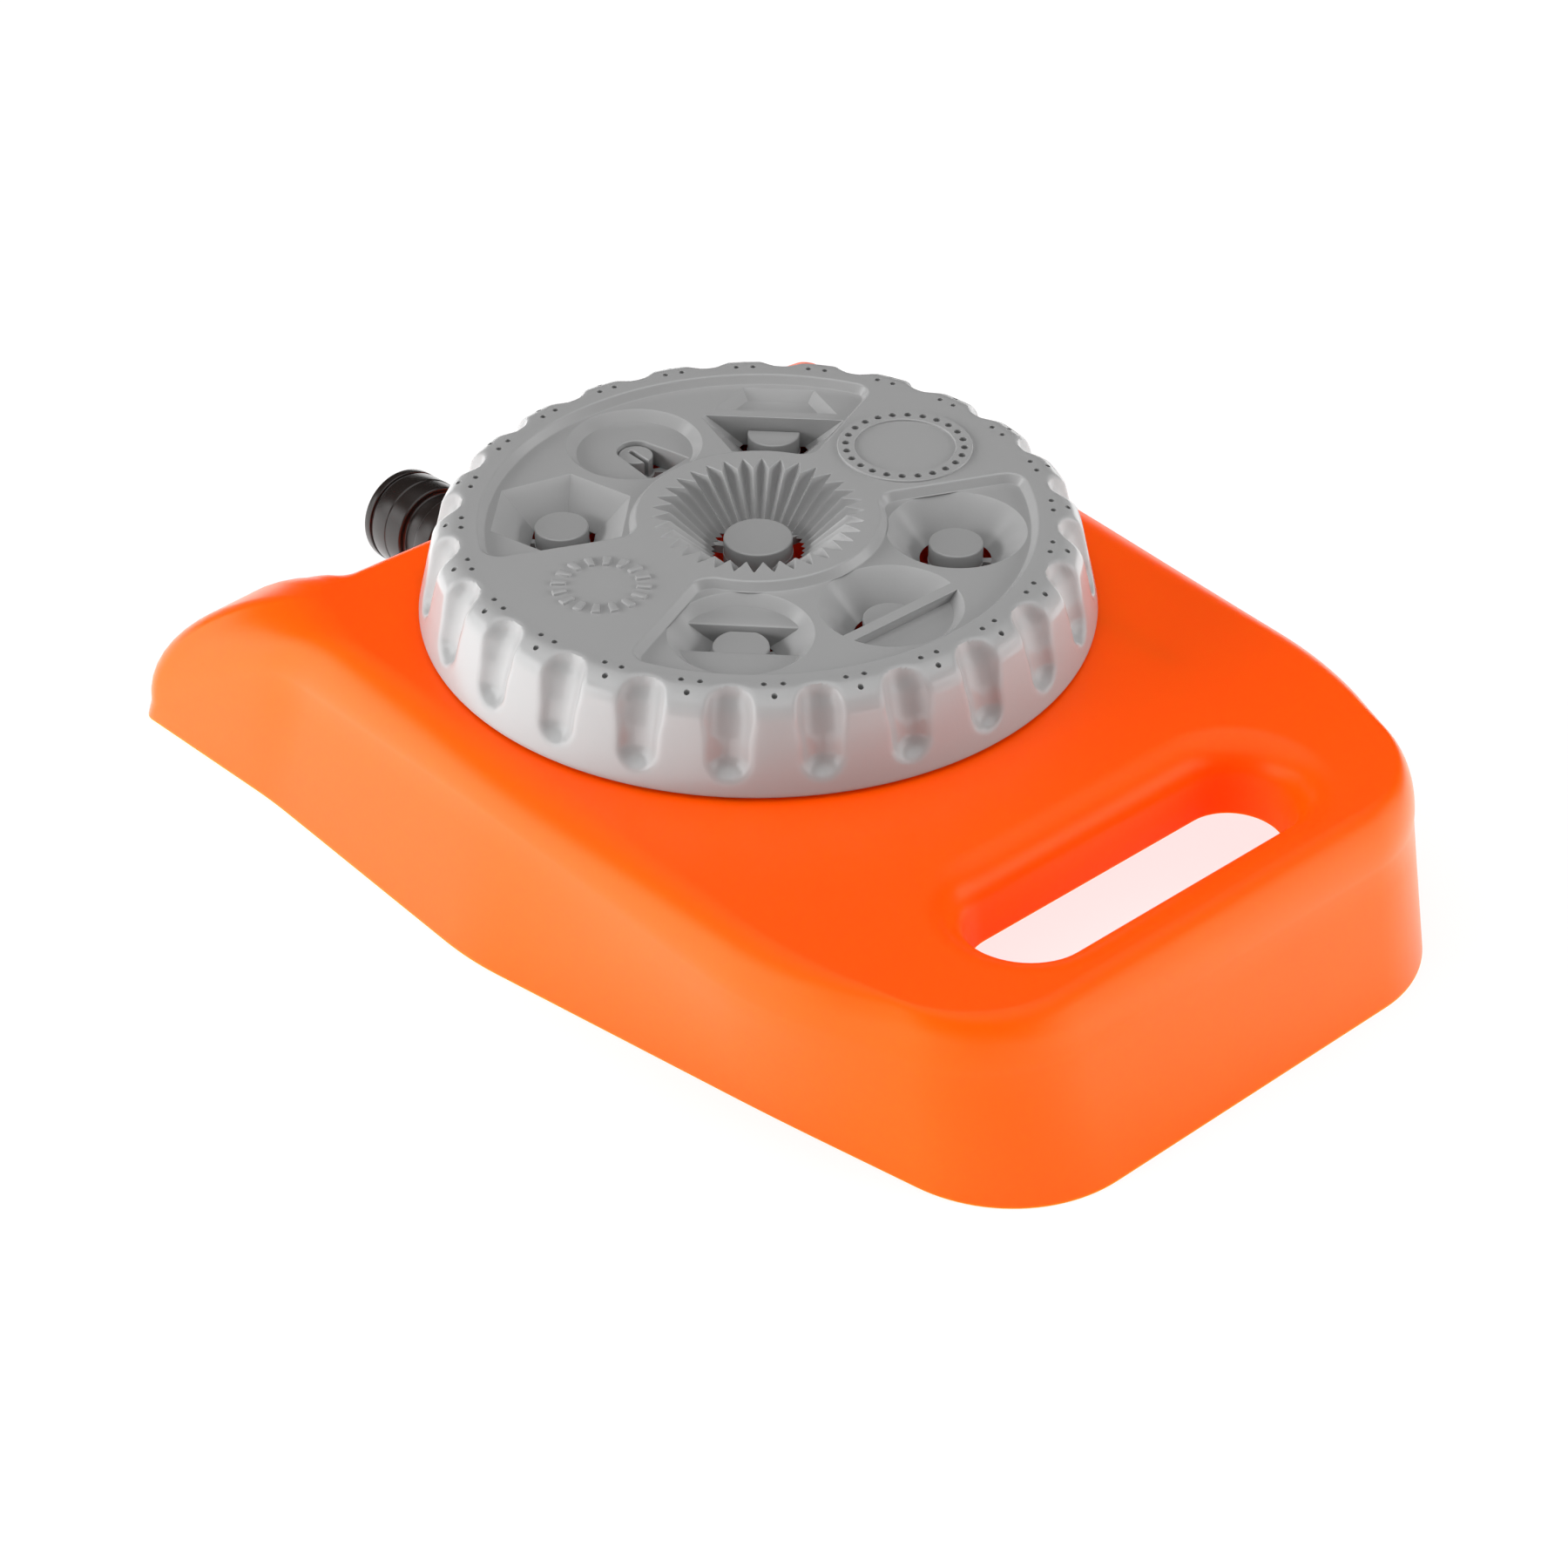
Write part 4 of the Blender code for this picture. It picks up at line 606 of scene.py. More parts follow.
def inner_cone(limit):
    """Circle without what lies beyond x = limit."""

    def outline(grow):
        radius = CONE_RADIUS + grow
        end = math.acos(limit / radius)
        return arc(radius, end, 2 * np.pi - end, 90)

    return outline


def outer_cone(limit):
    """Segment of the circle beyond x = limit."""

    def outline(grow):
        radius = CONE_RADIUS + grow
        end = math.acos(limit / radius)
        return arc(radius, -end, end, 60)

    return outline


def strip(radius, low, high, count=24):
    """Circle without what lies beyond x = low and x = high."""
    start, end = math.acos(high / radius), math.acos(low / radius)
    other = arc(radius, 2 * np.pi - end, 2 * np.pi - start, count)
    return np.r_[arc(radius, start, end, count), other]


def hexagon(low, high):
    """Hexagon with corners on Y, kept between x = low and x = high where these are given."""

    def outline(grow):
        apothem = HEX_APOTHEM + grow
        first = -apothem if low is None else low
        last = apothem if high is None else high
        knots = [first, last] if first > 0 else [first, 0.0, last]
        right = [(x, -(2 * apothem - abs(x)) / math.sqrt(3)) for x in knots]
        return np.array(right + [(x, -y) for x, y in reversed(right)])

    return outline


def slope(outline, top, bottom, steps=6):
    """Rounded brim, then 45 degree sides: P(i, j) = outline(z - top) j at height z."""
    rows = [at(grown(outline(0.0), out), top + rise) for out, rise in brim(ROUND, 45.0)]
    drop = 0.3 * ROUND
    for height in np.linspace(top - drop, bottom, steps)[1:]:
        rows.append(at(outline(height - top), height))
    return rows


def brim_of(outline, fall=45.0):
    """Outline of the hole that the flat round an opening needs."""
    return grown(outline, brim(ROUND, fall)[0, 0])


# %% [markdown]
# ### Stations
#
# The stations stand on one circle, 45 degrees apart, and turning the dial brings one of them
# over the water port. Four walls slope all the way down, as P(i, j) = outline(z_i - z_pan) j
# at height z_i. Three stations also have a ledge that covers part of the opening and flattens
# the jet, and one has a channel that widens towards the hub. Walls and ledges are separate
# patches that share their border points, so that they weld.

# %% Stations and what each one leaves in the floor of its pan
STATION_HOLES = {}
FACE_PATCHES = []


def on_station(number, patches):
    """Patches drawn about the middle of a station, laid on its place in the dial."""
    turn = number * np.pi / 4
    return moved(patches, turn, PITCH * math.cos(turn), PITCH * math.sin(turn))


def station_outline(number, outline):
    """Outline drawn about the middle of a station, laid on its place in the dial."""
    return on_station(number, [(at(outline, 0.0), None)])[0][0][:, :2]


def opening(number, outline, bottom):
    """Sloping opening in a pan; returns the outline of its lower edge."""
    rows = slope(outline, PAN, bottom)
    FACE_PATCHES.extend(on_station(number, [grid(np.stack(rows), wrap=True)]))
    hole = station_outline(number, brim_of(outline(0.0)))
    STATION_HOLES.setdefault(number, []).append(hole)
    return rows[-1][:, :2]


def shaft(number, outline, top):
    """Upright opening through a ledge, with a rounded brim."""
    profile = np.r_[brim(ROUND), [(0.0, OPENING_FOOT - top)]]
    FACE_PATCHES.extend(on_station(number, [ribbon(outline, profile, top)]))
    return brim_of(outline, 90.0)


def ledge(number, outline, holes=()):
    """Flat floor part of the way down an opening."""
    FACE_PATCHES.extend(on_station(number, [fill([outline, *holes], LEDGE)]))


sloping = {7: cone, 3: hexagon(None, None), 6: inner_cone(1.5), 1: hexagon(None, 1.0)}
for number, outline in sloping.items():
    opening(number, outline, OPENING_FOOT)
ledge(6, opening(6, outer_cone(3.5), LEDGE))
ledge(1, opening(1, hexagon(3.0, None), LEDGE))

# Station 5: a cone that goes on down between two straight ledges
opening(5, cone, LEDGE)
LOWER_RADIUS = CONE_RADIUS - (PAN - LEDGE)
STRIP_LOW, STRIP_HIGH = -4.5, 3.0
# Rounded edge of the strip as (outwards, drop), then its walls
STRIP_EDGE = [(0.4, 0.0), (0.2, 0.03), (0.06, 0.12), (0.0, 0.3), (0.0, 2.0), (0.0, 4.05)]
strip_rows = [
    at(strip(LOWER_RADIUS - drop, STRIP_LOW - ease, STRIP_HIGH + ease), LEDGE - drop)
    for ease, drop in STRIP_EDGE
]
FACE_PATCHES.extend(on_station(5, [grid(np.stack(strip_rows), wrap=True)]))
far = math.acos((STRIP_LOW - STRIP_EDGE[0][0]) / LOWER_RADIUS)
near = math.acos((STRIP_HIGH + STRIP_EDGE[0][0]) / LOWER_RADIUS)
ledge(5, arc(LOWER_RADIUS, far, 2 * np.pi - far, 30))
ledge(5, arc(LOWER_RADIUS, -near, near, 30))

# Station 2: a channel that is round about its post and widens towards the hub
POST_2 = (0.3, -0.45)
CHANNEL = np.r_[
    [(-7.5, -5.9), (-4.0, -4.95)],
    arc(3.25, math.radians(-75.0), math.radians(85.5), 40) + POST_2,
    [(-4.0, 3.15), (-8.8, 3.5)],
]
ledge(2, opening(2, cone, LEDGE), [shaft(2, CHANNEL, LEDGE)])
print("stations with openings:", sorted(STATION_HOLES))

# %% [markdown]
# ### Pans, serrated cone and flats
#
# The cone in the middle has 34 pleats, which split the centre jet into a star. Its wall is
# P(a, d) = r(a, d) (cos a, sin a) at depth d, where r runs from crest(d) to tip(d) as a
# triangle wave. The pans are ring sectors with sloping walls. Last come the flats: the face
# and the two pan floors are filled outlines with the openings left out, as a cutter that
# faces the mould would leave them.

# %% Pans, serrated cone and the face between them
BRIDGE = math.radians(24.0)
SERRATIONS = 34
CONE_DEPTH = 7.0
# Radii of the pleats at the face and at the foot of the cone
TIP_TOP, TIP_FOOT = 18.1, 8.8
CREST_TOP, CREST_FOOT = 14.65, 7.5
BAND_INNER, BAND_OUTER = 8.7, 11.75
# Flats run this far under the piece beside them, so that no gap shows
LAP = 0.05


def serrated(depth, per=12):
    """Star r(a) = crest + (tip - crest) w(a), w a triangle wave with softened corners."""
    angle = np.arange(SERRATIONS * per) * 2 * np.pi / (SERRATIONS * per)
    wave = np.abs((np.arange(SERRATIONS * per) / per + 0.5) % 1.0 - 0.5) * 2
    wave = 0.5 + (wave - 0.5) * (1 - 0.10 * np.abs(2 * wave - 1) ** 8)
    tip = TIP_TOP + (TIP_FOOT - TIP_TOP) * depth / CONE_DEPTH
    crest = CREST_TOP + (CREST_FOOT - CREST_TOP) * depth / CONE_DEPTH
    radius = crest + (tip - crest) * wave
    return radius[:, None] * np.c_[np.cos(angle), np.sin(angle)]


star_rows = [at(grown(serrated(0.0), out), FACE + rise) for out, rise in brim(0.15, 50.0, 4)]
for depth in np.linspace(0.15, FACE - OPENING_FOOT, 14):
    star_rows.append(at(serrated(depth), FACE - depth))
FACE_PATCHES.append(grid(np.stack(star_rows), wrap=True))

face_holes = [star_rows[0][:, :2]]
for side, start in ((0, BRIDGE), (1, np.pi + BRIDGE)):
    pan = pan_outline(start, start + np.pi - 2 * BRIDGE)
    profile = slanted(FACE - PAN, 55.0, 0.5, 0.3)
    FACE_PATCHES.append(ribbon(pan, profile, FACE))
    face_holes.append(grown(pan, profile[0, 0]))
    floor_holes = []
    for number in ((1, 2, 3), (5, 6, 7))[side]:
        floor_holes += STATION_HOLES[number]
    FACE_PATCHES.append(fill([grown(pan, profile[-1, 0]), *floor_holes], PAN))
BAND_AT = np.array([PITCH, 0.0])
face_holes.append(circle(BAND_OUTER - LAP) + BAND_AT)
FACE_PATCHES.append(fill([circle(RIM_INNER + 0.02, 240), *face_holes], FACE))
FACE_PATCHES.append(fill([circle(BAND_INNER + LAP) + BAND_AT], FACE))
piece(mesh_of("dial_face_moulding", FACE_PATCHES), GREY, "dial", "grey_abs", "dial_face")

# %% [markdown]
# ## Shower band
#
# The shower station is a slightly raised band with 24 fine holes. It is a turned ring with
# chamfered edges, P(i, j) = (r_i cos a_j, r_i sin a_j, z_i), and then the holes are drilled
# on one circle by a Boolean, the way that a jig would drill them.

# %% Band with holes
RAISED = 0.4
BAND_EDGE = 0.15
BAND_FOOT = FACE - 3.0
SPRAY_HOLES = 24
SPRAY_CIRCLE = 10.25
SPRAY_RADIUS = 0.68
SPRAY_DEPTH = 1.2
BAND = [
    (BAND_OUTER, BAND_FOOT), (BAND_OUTER, FACE + RAISED - BAND_EDGE),
    (BAND_OUTER - BAND_EDGE, FACE + RAISED), (BAND_INNER + BAND_EDGE, FACE + RAISED),
    (BAND_INNER, FACE + RAISED - BAND_EDGE), (BAND_INNER, BAND_FOOT),
]
BAND_RING = piece(
    mesh_of("shower_band", moved([turned(BAND, 120)], 0.0, PITCH)), GREY, "dial", "grey_abs",
    "dial_face",
)
spray_hole = rod(circle(SPRAY_RADIUS, 20), FACE - SPRAY_DEPTH, FACE + ABOVE)
spray_holes = []
for x, y in circle(SPRAY_CIRCLE, SPRAY_HOLES):
    spray_holes += moved(spray_hole, 0.0, x + PITCH, y)
cut(BAND_RING, cutter("spray_holes", spray_holes))

# %% [markdown]
# ## Block ring
#
# The station opposite the shower has no opening. A ring of 16 low raised blocks marks it.
# Each block is one rounded outline, drawn up and drawn in a little at its top edge, because
# one small tool would cut them all into the mould.

# %% Blocks
BLOCKS = 16
BLOCK_OUTLINE = rounded([(5.75, -0.5), (8.2, -0.72), (8.2, 0.72), (5.75, 0.5)], 0.2, 4)
# Wall and rounded top edge as (outwards, height under the top)
BLOCK_WALL = [(0.12, -0.5), (0.0, -0.15), (-0.04, -0.04), (-0.15, 0.0)]
block = [ribbon(BLOCK_OUTLINE, BLOCK_WALL, FACE + RAISED)]
block.append(fill([grown(BLOCK_OUTLINE, BLOCK_WALL[-1][0])], FACE + RAISED))
blocks = []
for number in range(BLOCKS):
    blocks += moved(block, number * 2 * np.pi / BLOCKS)
piece(mesh_of("block_ring", moved(blocks, 0.0, -PITCH)), GREY, "dial", "grey_abs", "dial_face")

# %% [markdown]
# ## Deflector plate
#
# Under the face lies a thin plate with a post in each opening. Water comes up round the
# post, and the opening's walls shape it. The plate is a filled disc with three curved windows
# round each post, and each post is an outline drawn up with a rounded top edge. Both come out
# of one mould, so they are one piece here too.

# %% Plate and its windows
DEFLECTOR = PLATE - 0.3
DEFLECTOR_RADIUS = 50.4
THICKNESS = 1.5
WINDOW_OUTER = 8.6
# Inner and outer radius of the windows round each post
WINDOWS = dict.fromkeys((1, 2, 3, 5, 6, 7), (4.7, WINDOW_OUTER))
WINDOWS[2] = (3.4, WINDOW_OUTER)
WINDOWS["hub"] = (5.95, 9.6)
# Width of the spoke between two windows
SPOKE = 1.2


def window(inner, outer, part):
    """Outline of one of three curved windows, with half a spoke left at either end."""
    start = 2 * np.pi * part / 3 + SPOKE / 2 / inner
    end = 2 * np.pi * (part + 1) / 3 - SPOKE / 2 / inner
    return np.r_[arc(outer, start, end, 16), arc(inner, end, start, 12)]


plate_holes = []
for number, (inner, outer) in WINDOWS.items():
    for part in range(3):
        hole = window(inner, outer, part)
        plate_holes.append(hole if number == "hub" else station_outline(number, hole))
plate_holes.append(circle(WINDOW_OUTER) + BAND_AT)
disc = circle(DEFLECTOR_RADIUS, 180)
through = [(0.0, 0.0), (0.0, -THICKNESS)]
deflector = [
    fill([disc, *plate_holes], DEFLECTOR),
    fill([disc, *plate_holes], DEFLECTOR - THICKNESS, False),
    ribbon(disc, through, DEFLECTOR, True),
]
deflector += [ribbon(hole, through, DEFLECTOR) for hole in plate_holes]
print("deflector plate with", len(plate_holes), "windows")

# %% [markdown]
# ### Posts
#
# The posts of the half openings have a flat side, the one between two ledges has two, and the
# one in the channel is smaller and has a slit towards the hub. A wall is P(i, j) = outline j
# moved by profile i, where the profile ends in a quarter circle.

# %% Posts and the whole plate
POST_TOP = FACE - 4.0
POST_RADIUS = 4.6
POST_SUNK = 0.8
HUB_POST_TOP = FACE - 4.5
HUB_POST_RADIUS = 5.85
SPLIT_RADIUS = 3.0
SLIT_HALF = 0.45
SLIT_END = 1.2


def post(outline, top, edge=0.25):
    """Upright post with a rounded top edge, sunk a little into the plate."""
    turn = np.linspace(0.0, np.pi / 2, 5)
    bend = edge * np.c_[np.cos(turn) - 1, np.sin(turn) - 1]
    border = -edge - NARROW
    profile = np.r_[[(0.0, DEFLECTOR - POST_SUNK - top)], bend, [(border, 0.0)]]
    return [ribbon(outline, profile, top), fill([grown(outline, border)], top)]


def flat_post(limit):
    """Outline of a round post with a flat side at x = limit."""
    end = math.acos(limit / POST_RADIUS)
    return arc(POST_RADIUS, end, 2 * np.pi - end, 50)


slit = math.asin(SLIT_HALF / SPLIT_RADIUS)
split_post = np.r_[
    arc(SPLIT_RADIUS, -np.pi + slit, np.pi - slit, 60),
    arc(SLIT_HALF, np.pi / 2, -np.pi / 2, 9) + (SLIT_END, 0.0),
]
POSTS = {
    1: flat_post(0.6),
    2: split_post + POST_2,
    3: circle(POST_RADIUS, 64),
    5: strip(POST_RADIUS, -4.1, 2.6, 20),
    6: flat_post(1.1),
    7: circle(POST_RADIUS, 64),
}
for number, outline in POSTS.items():
    deflector += on_station(number, post(outline, POST_TOP))
deflector += post(circle(HUB_POST_RADIUS, 80), HUB_POST_TOP, 0.3)
piece(mesh_of("deflector_moulding", deflector), GREY, "dial", "grey_abs", "deflector_plate")

# %% [markdown]
# ## Base
#
# The base is one injection moulding in polypropylene: a shell with walls of 2.2 mm, open
# below. Three outlines guide it: the ground edge, the top of the upright wall and the edge
# of the flat deck. Between wall and deck runs a rounding of its own height at each place,
# tall over the feet and low at the handle: P(s, t) = wall(s) + (deck(s) - wall(s)) (1 - cos
# t), z = deck height - roll(s) (1 - sin t)^f. A solid wall comes from Solidify.

# %% Guide outlines of half the base
DECK = 31.6
WALL = 2.2
# Ground, top of the upright wall and edge of the deck, each as (x, y, radius), and last the
# height of the rounding
CORNERS = [
    ((0.0, 56.0, 0), (0.0, 53.5, 0), (0.0, 50.0, 0), 3.5),
    ((50.0, 56.0, 5), (49.0, 53.5, 5), (50.0, 50.0, 3), 3.5),
    ((54.0, 80.3, 6), (55.6, 79.8, 6), (54.5, 52.0, 2), 28.5),
    ((76.9, 80.3, 3.2), (77.2, 79.8, 3.7), (56.5, 48.0, 4), 28.5),
    ((73.7, 42.8, 120), (67.2, 42.8, 40), (59.4, 32.8, 30), 10.0),
    ((73.2, -13.6, 60), (66.4, -13.6, 400), (57.5, -13.6, 300), 7.3),
    ((60.1, -74.1, 600), (63.6, -74.1, 60), (57.4, -74.1, 80), 8.4),
    ((49.2, -118.0, 24.3), (47.6, -111.5, 23.5), (48.5, -106.2, 19.5), 9.5),
    ((0.0, -118.0, 0), (0.0, -111.5, 0), (0.0, -106.2, 0), 9.5),
]
BEND_STEPS = [9, 10, 14, 8, 8, 8, 24]
SPAN_STEPS = [12, 8, 5, 14, 16, 14, 10, 12]
# Distance along the wall over which the height of the rounding is averaged
ROLL_REACH = 3.0


def guide(corners):
    """Open path through corners (x, y, radius): straight spans and tangent arcs."""
    corners = np.array(corners, float)
    places = corners[:, :2]
    path = [places[:1]]
    for i in range(1, len(corners) - 1):
        back = places[i - 1] - places[i]
        ahead = places[i + 1] - places[i]
        back /= np.linalg.norm(back)
        ahead /= np.linalg.norm(ahead)
        half = math.acos(np.clip(back @ ahead, -1, 1)) / 2
        middle = (back + ahead) / np.linalg.norm(back + ahead)
        centre = places[i] + middle * corners[i, 2] / math.sin(half)
        first = places[i] + back * corners[i, 2] / math.tan(half) - centre
        last = places[i] + ahead * corners[i, 2] / math.tan(half) - centre
        sweep = math.atan2(first[0] * last[1] - first[1] * last[0], first @ last)
        turn = np.linspace(0.0, sweep, BEND_STEPS[i - 1] + 1)
        bend = np.c_[
            first[0] * np.cos(turn) - first[1] * np.sin(turn),
            first[0] * np.sin(turn) + first[1] * np.cos(turn),
        ] + centre
        share = np.linspace(0.0, 1.0, SPAN_STEPS[i - 1], endpoint=False)[1:, None]
        path += [path[-1][-1] + (bend[0] - path[-1][-1]) * share, bend]
    share = np.linspace(0.0, 1.0, SPAN_STEPS[-1] + 1)[1:, None]
    path.append(path[-1][-1] + (places[-1] - path[-1][-1]) * share)
    return np.concatenate(path)


def corner_share():
    """Position of each path point in the list of corners, for values given per corner."""
    share = [np.zeros(1)]
    for i, bend in enumerate(BEND_STEPS):
        share += [i + np.arange(1, SPAN_STEPS[i]) / SPAN_STEPS[i], np.full(bend + 1, i + 1.0)]
    last = len(BEND_STEPS)
    share.append(last + np.arange(1, SPAN_STEPS[-1] + 1) / SPAN_STEPS[-1])
    return np.concatenate(share)


def eased(values, along, reach):
    """Values averaged along the path with weights exp(-d^2 / 2 reach^2)."""
    weight = np.exp(-(((along[:, None] - along[None]) / reach) ** 2) / 2)
    weight *= np.gradient(along)[None]
    return (weight @ values) / weight.sum(1, keepdims=True)


ground, wall, deck = (guide([corner[level] for corner in CORNERS]) for level in range(3))
roll = np.interp(corner_share(), np.arange(len(CORNERS)), [corner[3] for corner in CORNERS])
along = np.r_[0.0, np.cumsum(np.linalg.norm(np.diff(wall, axis=0), axis=1))]
roll = eased(roll[:, None], along, ROLL_REACH)[:, 0]
print("half outline of the base:", len(wall), "points, rounding up to", round(roll.max(), 1), "mm")

# %% [markdown]
# ### Skin of the base
#
# The skin is a grid of rows that rise from the ground over the wall and the rounding, and the
# handle's hole is a second one: a stadium with a large rounding and a little draft. The flat
# deck is filled between the last row of each. The moulding has one wall thickness all round,
# which is what Solidify gives, and its lower edge is then pressed flat on the ground.

# %% Skin of the base, its handle hole and the deck
WALL_ROWS = 6
ROLL_STEPS = 14
# The tall roundings are a little fuller: f = 1 - FULLNESS roll / DECK
FULLNESS = 0.22
# Middle y, half length and half width of the handle's hole
GRIP = (-89.4, 32.7, 9.5)
GRIP_ROLL = 6.2
GRIP_FOOT = 19.3
GRIP_DRAFT = 1.0
BORDER = 0.3


def whole(half, height):
    """Anticlockwise loop from half an outline that runs from the back to the front."""
    half = np.c_[half, np.broadcast_to(height, len(half))][::-1]
    other = half[::-1][1:-1] * (-1.0, 1.0, 1.0)
    return np.concatenate([half, other])


def grip(out, height):
    """Stadium of the handle's hole, moved out, at a height."""
    middle, length, width = GRIP
    radius = width + out
    ends = [arc(radius, -np.pi / 2, np.pi / 2, 32) + (length - width, middle)]
    ends.append(arc(radius, np.pi / 2, 3 * np.pi / 2, 32) + (width - length, middle))
    share = np.linspace(0.0, 1.0, 18)[1:-1, None]
    front = ends[1][-1] + (ends[0][0] - ends[1][-1]) * share
    rear = ends[0][-1] + (ends[1][0] - ends[0][-1]) * share
    return at(np.concatenate([ends[0], rear, ends[1], front]), height)


rows = []
for share in np.linspace(0.0, 1.0, WALL_ROWS + 1)[:-1]:
    rows.append(whole(ground + (wall - ground) * share, (DECK - roll) * share))
for turn in np.linspace(0.0, np.pi / 2, ROLL_STEPS + 1):
    drop = roll * (1 - math.sin(turn)) ** (1 - FULLNESS * roll / DECK)
    rows.append(whole(wall + (deck - wall) * (1 - math.cos(turn)), DECK - drop))
edge = grown(rows[-1][:, :2], -BORDER)
rows.append(at(edge, DECK))
hole_rows = [grip(GRIP_ROLL + BORDER, DECK)]
for turn in np.linspace(0.0, np.pi / 2, 12):
    height = DECK - GRIP_ROLL * (1 - math.cos(turn))
    hole_rows.append(grip(GRIP_ROLL * (1 - math.sin(turn)), height))
for share in (0.35, 0.7, 1.0):
    height = DECK - GRIP_ROLL + (GRIP_FOOT - DECK + GRIP_ROLL) * share
    hole_rows.append(grip(-GRIP_DRAFT * share, height))
SKIN = [grid(np.stack(rows), wrap=True), grid(np.stack(hole_rows), wrap=True)]
SKIN.append(fill([edge, hole_rows[0][:, :2]], DECK))
BASE = piece(mesh_of("base_moulding", SKIN), ORANGE, "base", "orange_polypropylene", "base_shell")
step = BASE.modifiers.new("wall", "SOLIDIFY")
step.thickness = WALL / 1000
step.offset = -1.0
settled(BASE)
places = np.empty(len(BASE.data.vertices) * 3)
BASE.data.vertices.foreach_get("co", places)
places[2::3] = np.maximum(places[2::3], 0.0)
BASE.data.vertices.foreach_set("co", places)

# %% [markdown]
# ## Inside of the base
#
# From below the moulding shows what carries the works: the hub with the dial's screw, the
# water box that the nipple feeds, the guides of the seal and of the detent plunger, and
# ribs. Each is a turned or drawn wall that starts inside the deck, where the mould's core has
# a slot, and the bores through the deck are cut by a Boolean at the end.

# %% Turned and drawn walls under the deck
NIPPLE_TIP = np.array([-13.0, 88.0, 11.7])
TILT = math.radians(6.0)
UNDER = DECK - WALL / 2
# Radii of the bores for the dial's spigot, the seal, the detent plunger and the nipple
HUB_BORE, SEAL_BORE, PLUNGER_BORE, NIPPLE_BORE = 7.0, 6.6, 3.3, 6.9
# The hub rises a little above the deck, and the guides end in it
HUB_FOOT, HUB_TOP = 16.0, 32.3
SEAL_FOOT, PLUNGER_FOOT = 19.0, 17.0
PLUNGER_Y = -43.0
# Cutters run from well below the deck to well above it
BORE_LOW, BORE_HIGH = 10.0, 40.0
BOX_FOOT = 6.2
BOX_EDGE = 0.3
BOSS_X, BOSS_Y = (-28.2, 14.8), (24.5, 46.0)
RIB_FOOT = 12.0
RIB_HALF = 0.9
RIB_ROUND = 0.8
RIB_DRAFT = 0.3


def on_nipple(patches):
    """Patches drawn with z running inwards from the tip, laid on the nipple's axis."""
    inwards = np.array([0.0, -math.cos(TILT), math.sin(TILT)])
    side = np.array([-1.0, 0.0, 0.0])
    other = np.cross(inwards, side)
    basis = np.stack([side, other, inwards])
    return [(points @ basis + NIPPLE_TIP, faces) for points, faces in patches]


def tube(inner, outer, bottom, top, edge=0.3):
    """Upright tube with rounded lower edges, turned clockwise round its profile."""
    return turned([
        (inner, top), (inner, bottom + edge), (inner + edge * 0.3, bottom + edge * 0.3),
        (inner + edge, bottom), (outer - edge, bottom), (outer - edge * 0.3, bottom + edge * 0.3),
        (outer, bottom + edge), (outer, top),
    ])


def bar(low, high):
    """Upright rib: a rounded rectangle with its lower edge rounded."""
    outline = rounded(rectangle(low, high), RIB_ROUND, 5)
    edge = 0.8 * RIB_ROUND
    turn = np.linspace(0.0, np.pi / 2, 5)
    bend = edge * np.c_[np.sin(turn) - 1, 1 - np.cos(turn)]
    profile = np.r_[[(-edge, 0.0)], bend, [(RIB_DRAFT, UNDER - RIB_FOOT)]]
    return [ribbon(outline, profile, RIB_FOOT), fill([grown(outline, -edge)], RIB_FOOT, False)]


# Hub, guide of the plunger with its floor, and guide of the seal
inside = [tube(HUB_BORE, 9.5, HUB_FOOT, HUB_TOP)]
inside += moved([tube(PLUNGER_BORE, 5.0, PLUNGER_FOOT, UNDER)], y=PLUNGER_Y)
inside += moved(rod(circle(3.4, 48), PLUNGER_FOOT, PLUNGER_FOOT + 1.5), y=PLUNGER_Y)
inside += moved([tube(SEAL_BORE, 8.4, SEAL_FOOT, UNDER)], y=PITCH)

# Water box: outer and inner wall, and the narrow flat under them
box_out = rounded(rectangle((-26.0, 21.0), (12.6, 49.5)), 2.5, 8)
box_in = rounded(rectangle((-24.0, 23.0), (10.6, 47.5)), 1.5, 8)
box_wall = [(0.0, UNDER - BOX_FOOT), (0.0, BOX_EDGE)]
inside.append(ribbon(box_out, [*box_wall, (-BOX_EDGE, 0.0)], BOX_FOOT, True))
inside.append(ribbon(box_in, [*box_wall, (BOX_EDGE, 0.0)], BOX_FOOT))
inside.append(fill([grown(box_out, -BOX_EDGE), grown(box_in, BOX_EDGE)], BOX_FOOT, False))
for x in BOSS_X:
    for y in BOSS_Y:
        inside += moved([tube(1.4, 3.4, BOX_FOOT, UNDER)], x=x, y=y)

# Two ribs along the base, one across it, and the collar that holds the nipple
for x in (-40.0, 40.0):
    inside += bar((x - RIB_HALF, -60.0), (x + RIB_HALF, 44.0))
inside += bar((-50.0, -30.0), (50.0, -30.0 + 2 * RIB_HALF))
collar = rectangle((NIPPLE_BORE, 31.0), (9.4, 42.0))
inside += on_nipple([turned(collar)])
piece(mesh_of("base_inside", inside), ORANGE, "base", "orange_polypropylene", "base_shell")

bores = rod(circle(HUB_BORE, 72), BORE_LOW, BORE_HIGH)
bores += moved(rod(circle(SEAL_BORE, 72), BORE_LOW, BORE_HIGH), y=PITCH)
bores += moved(rod(circle(PLUNGER_BORE, 48), BORE_LOW, BORE_HIGH), y=PLUNGER_Y)
bores += on_nipple(rod(circle(NIPPLE_BORE, 64), 25.0, 47.0))
cut(BASE, cutter("bores", bores))

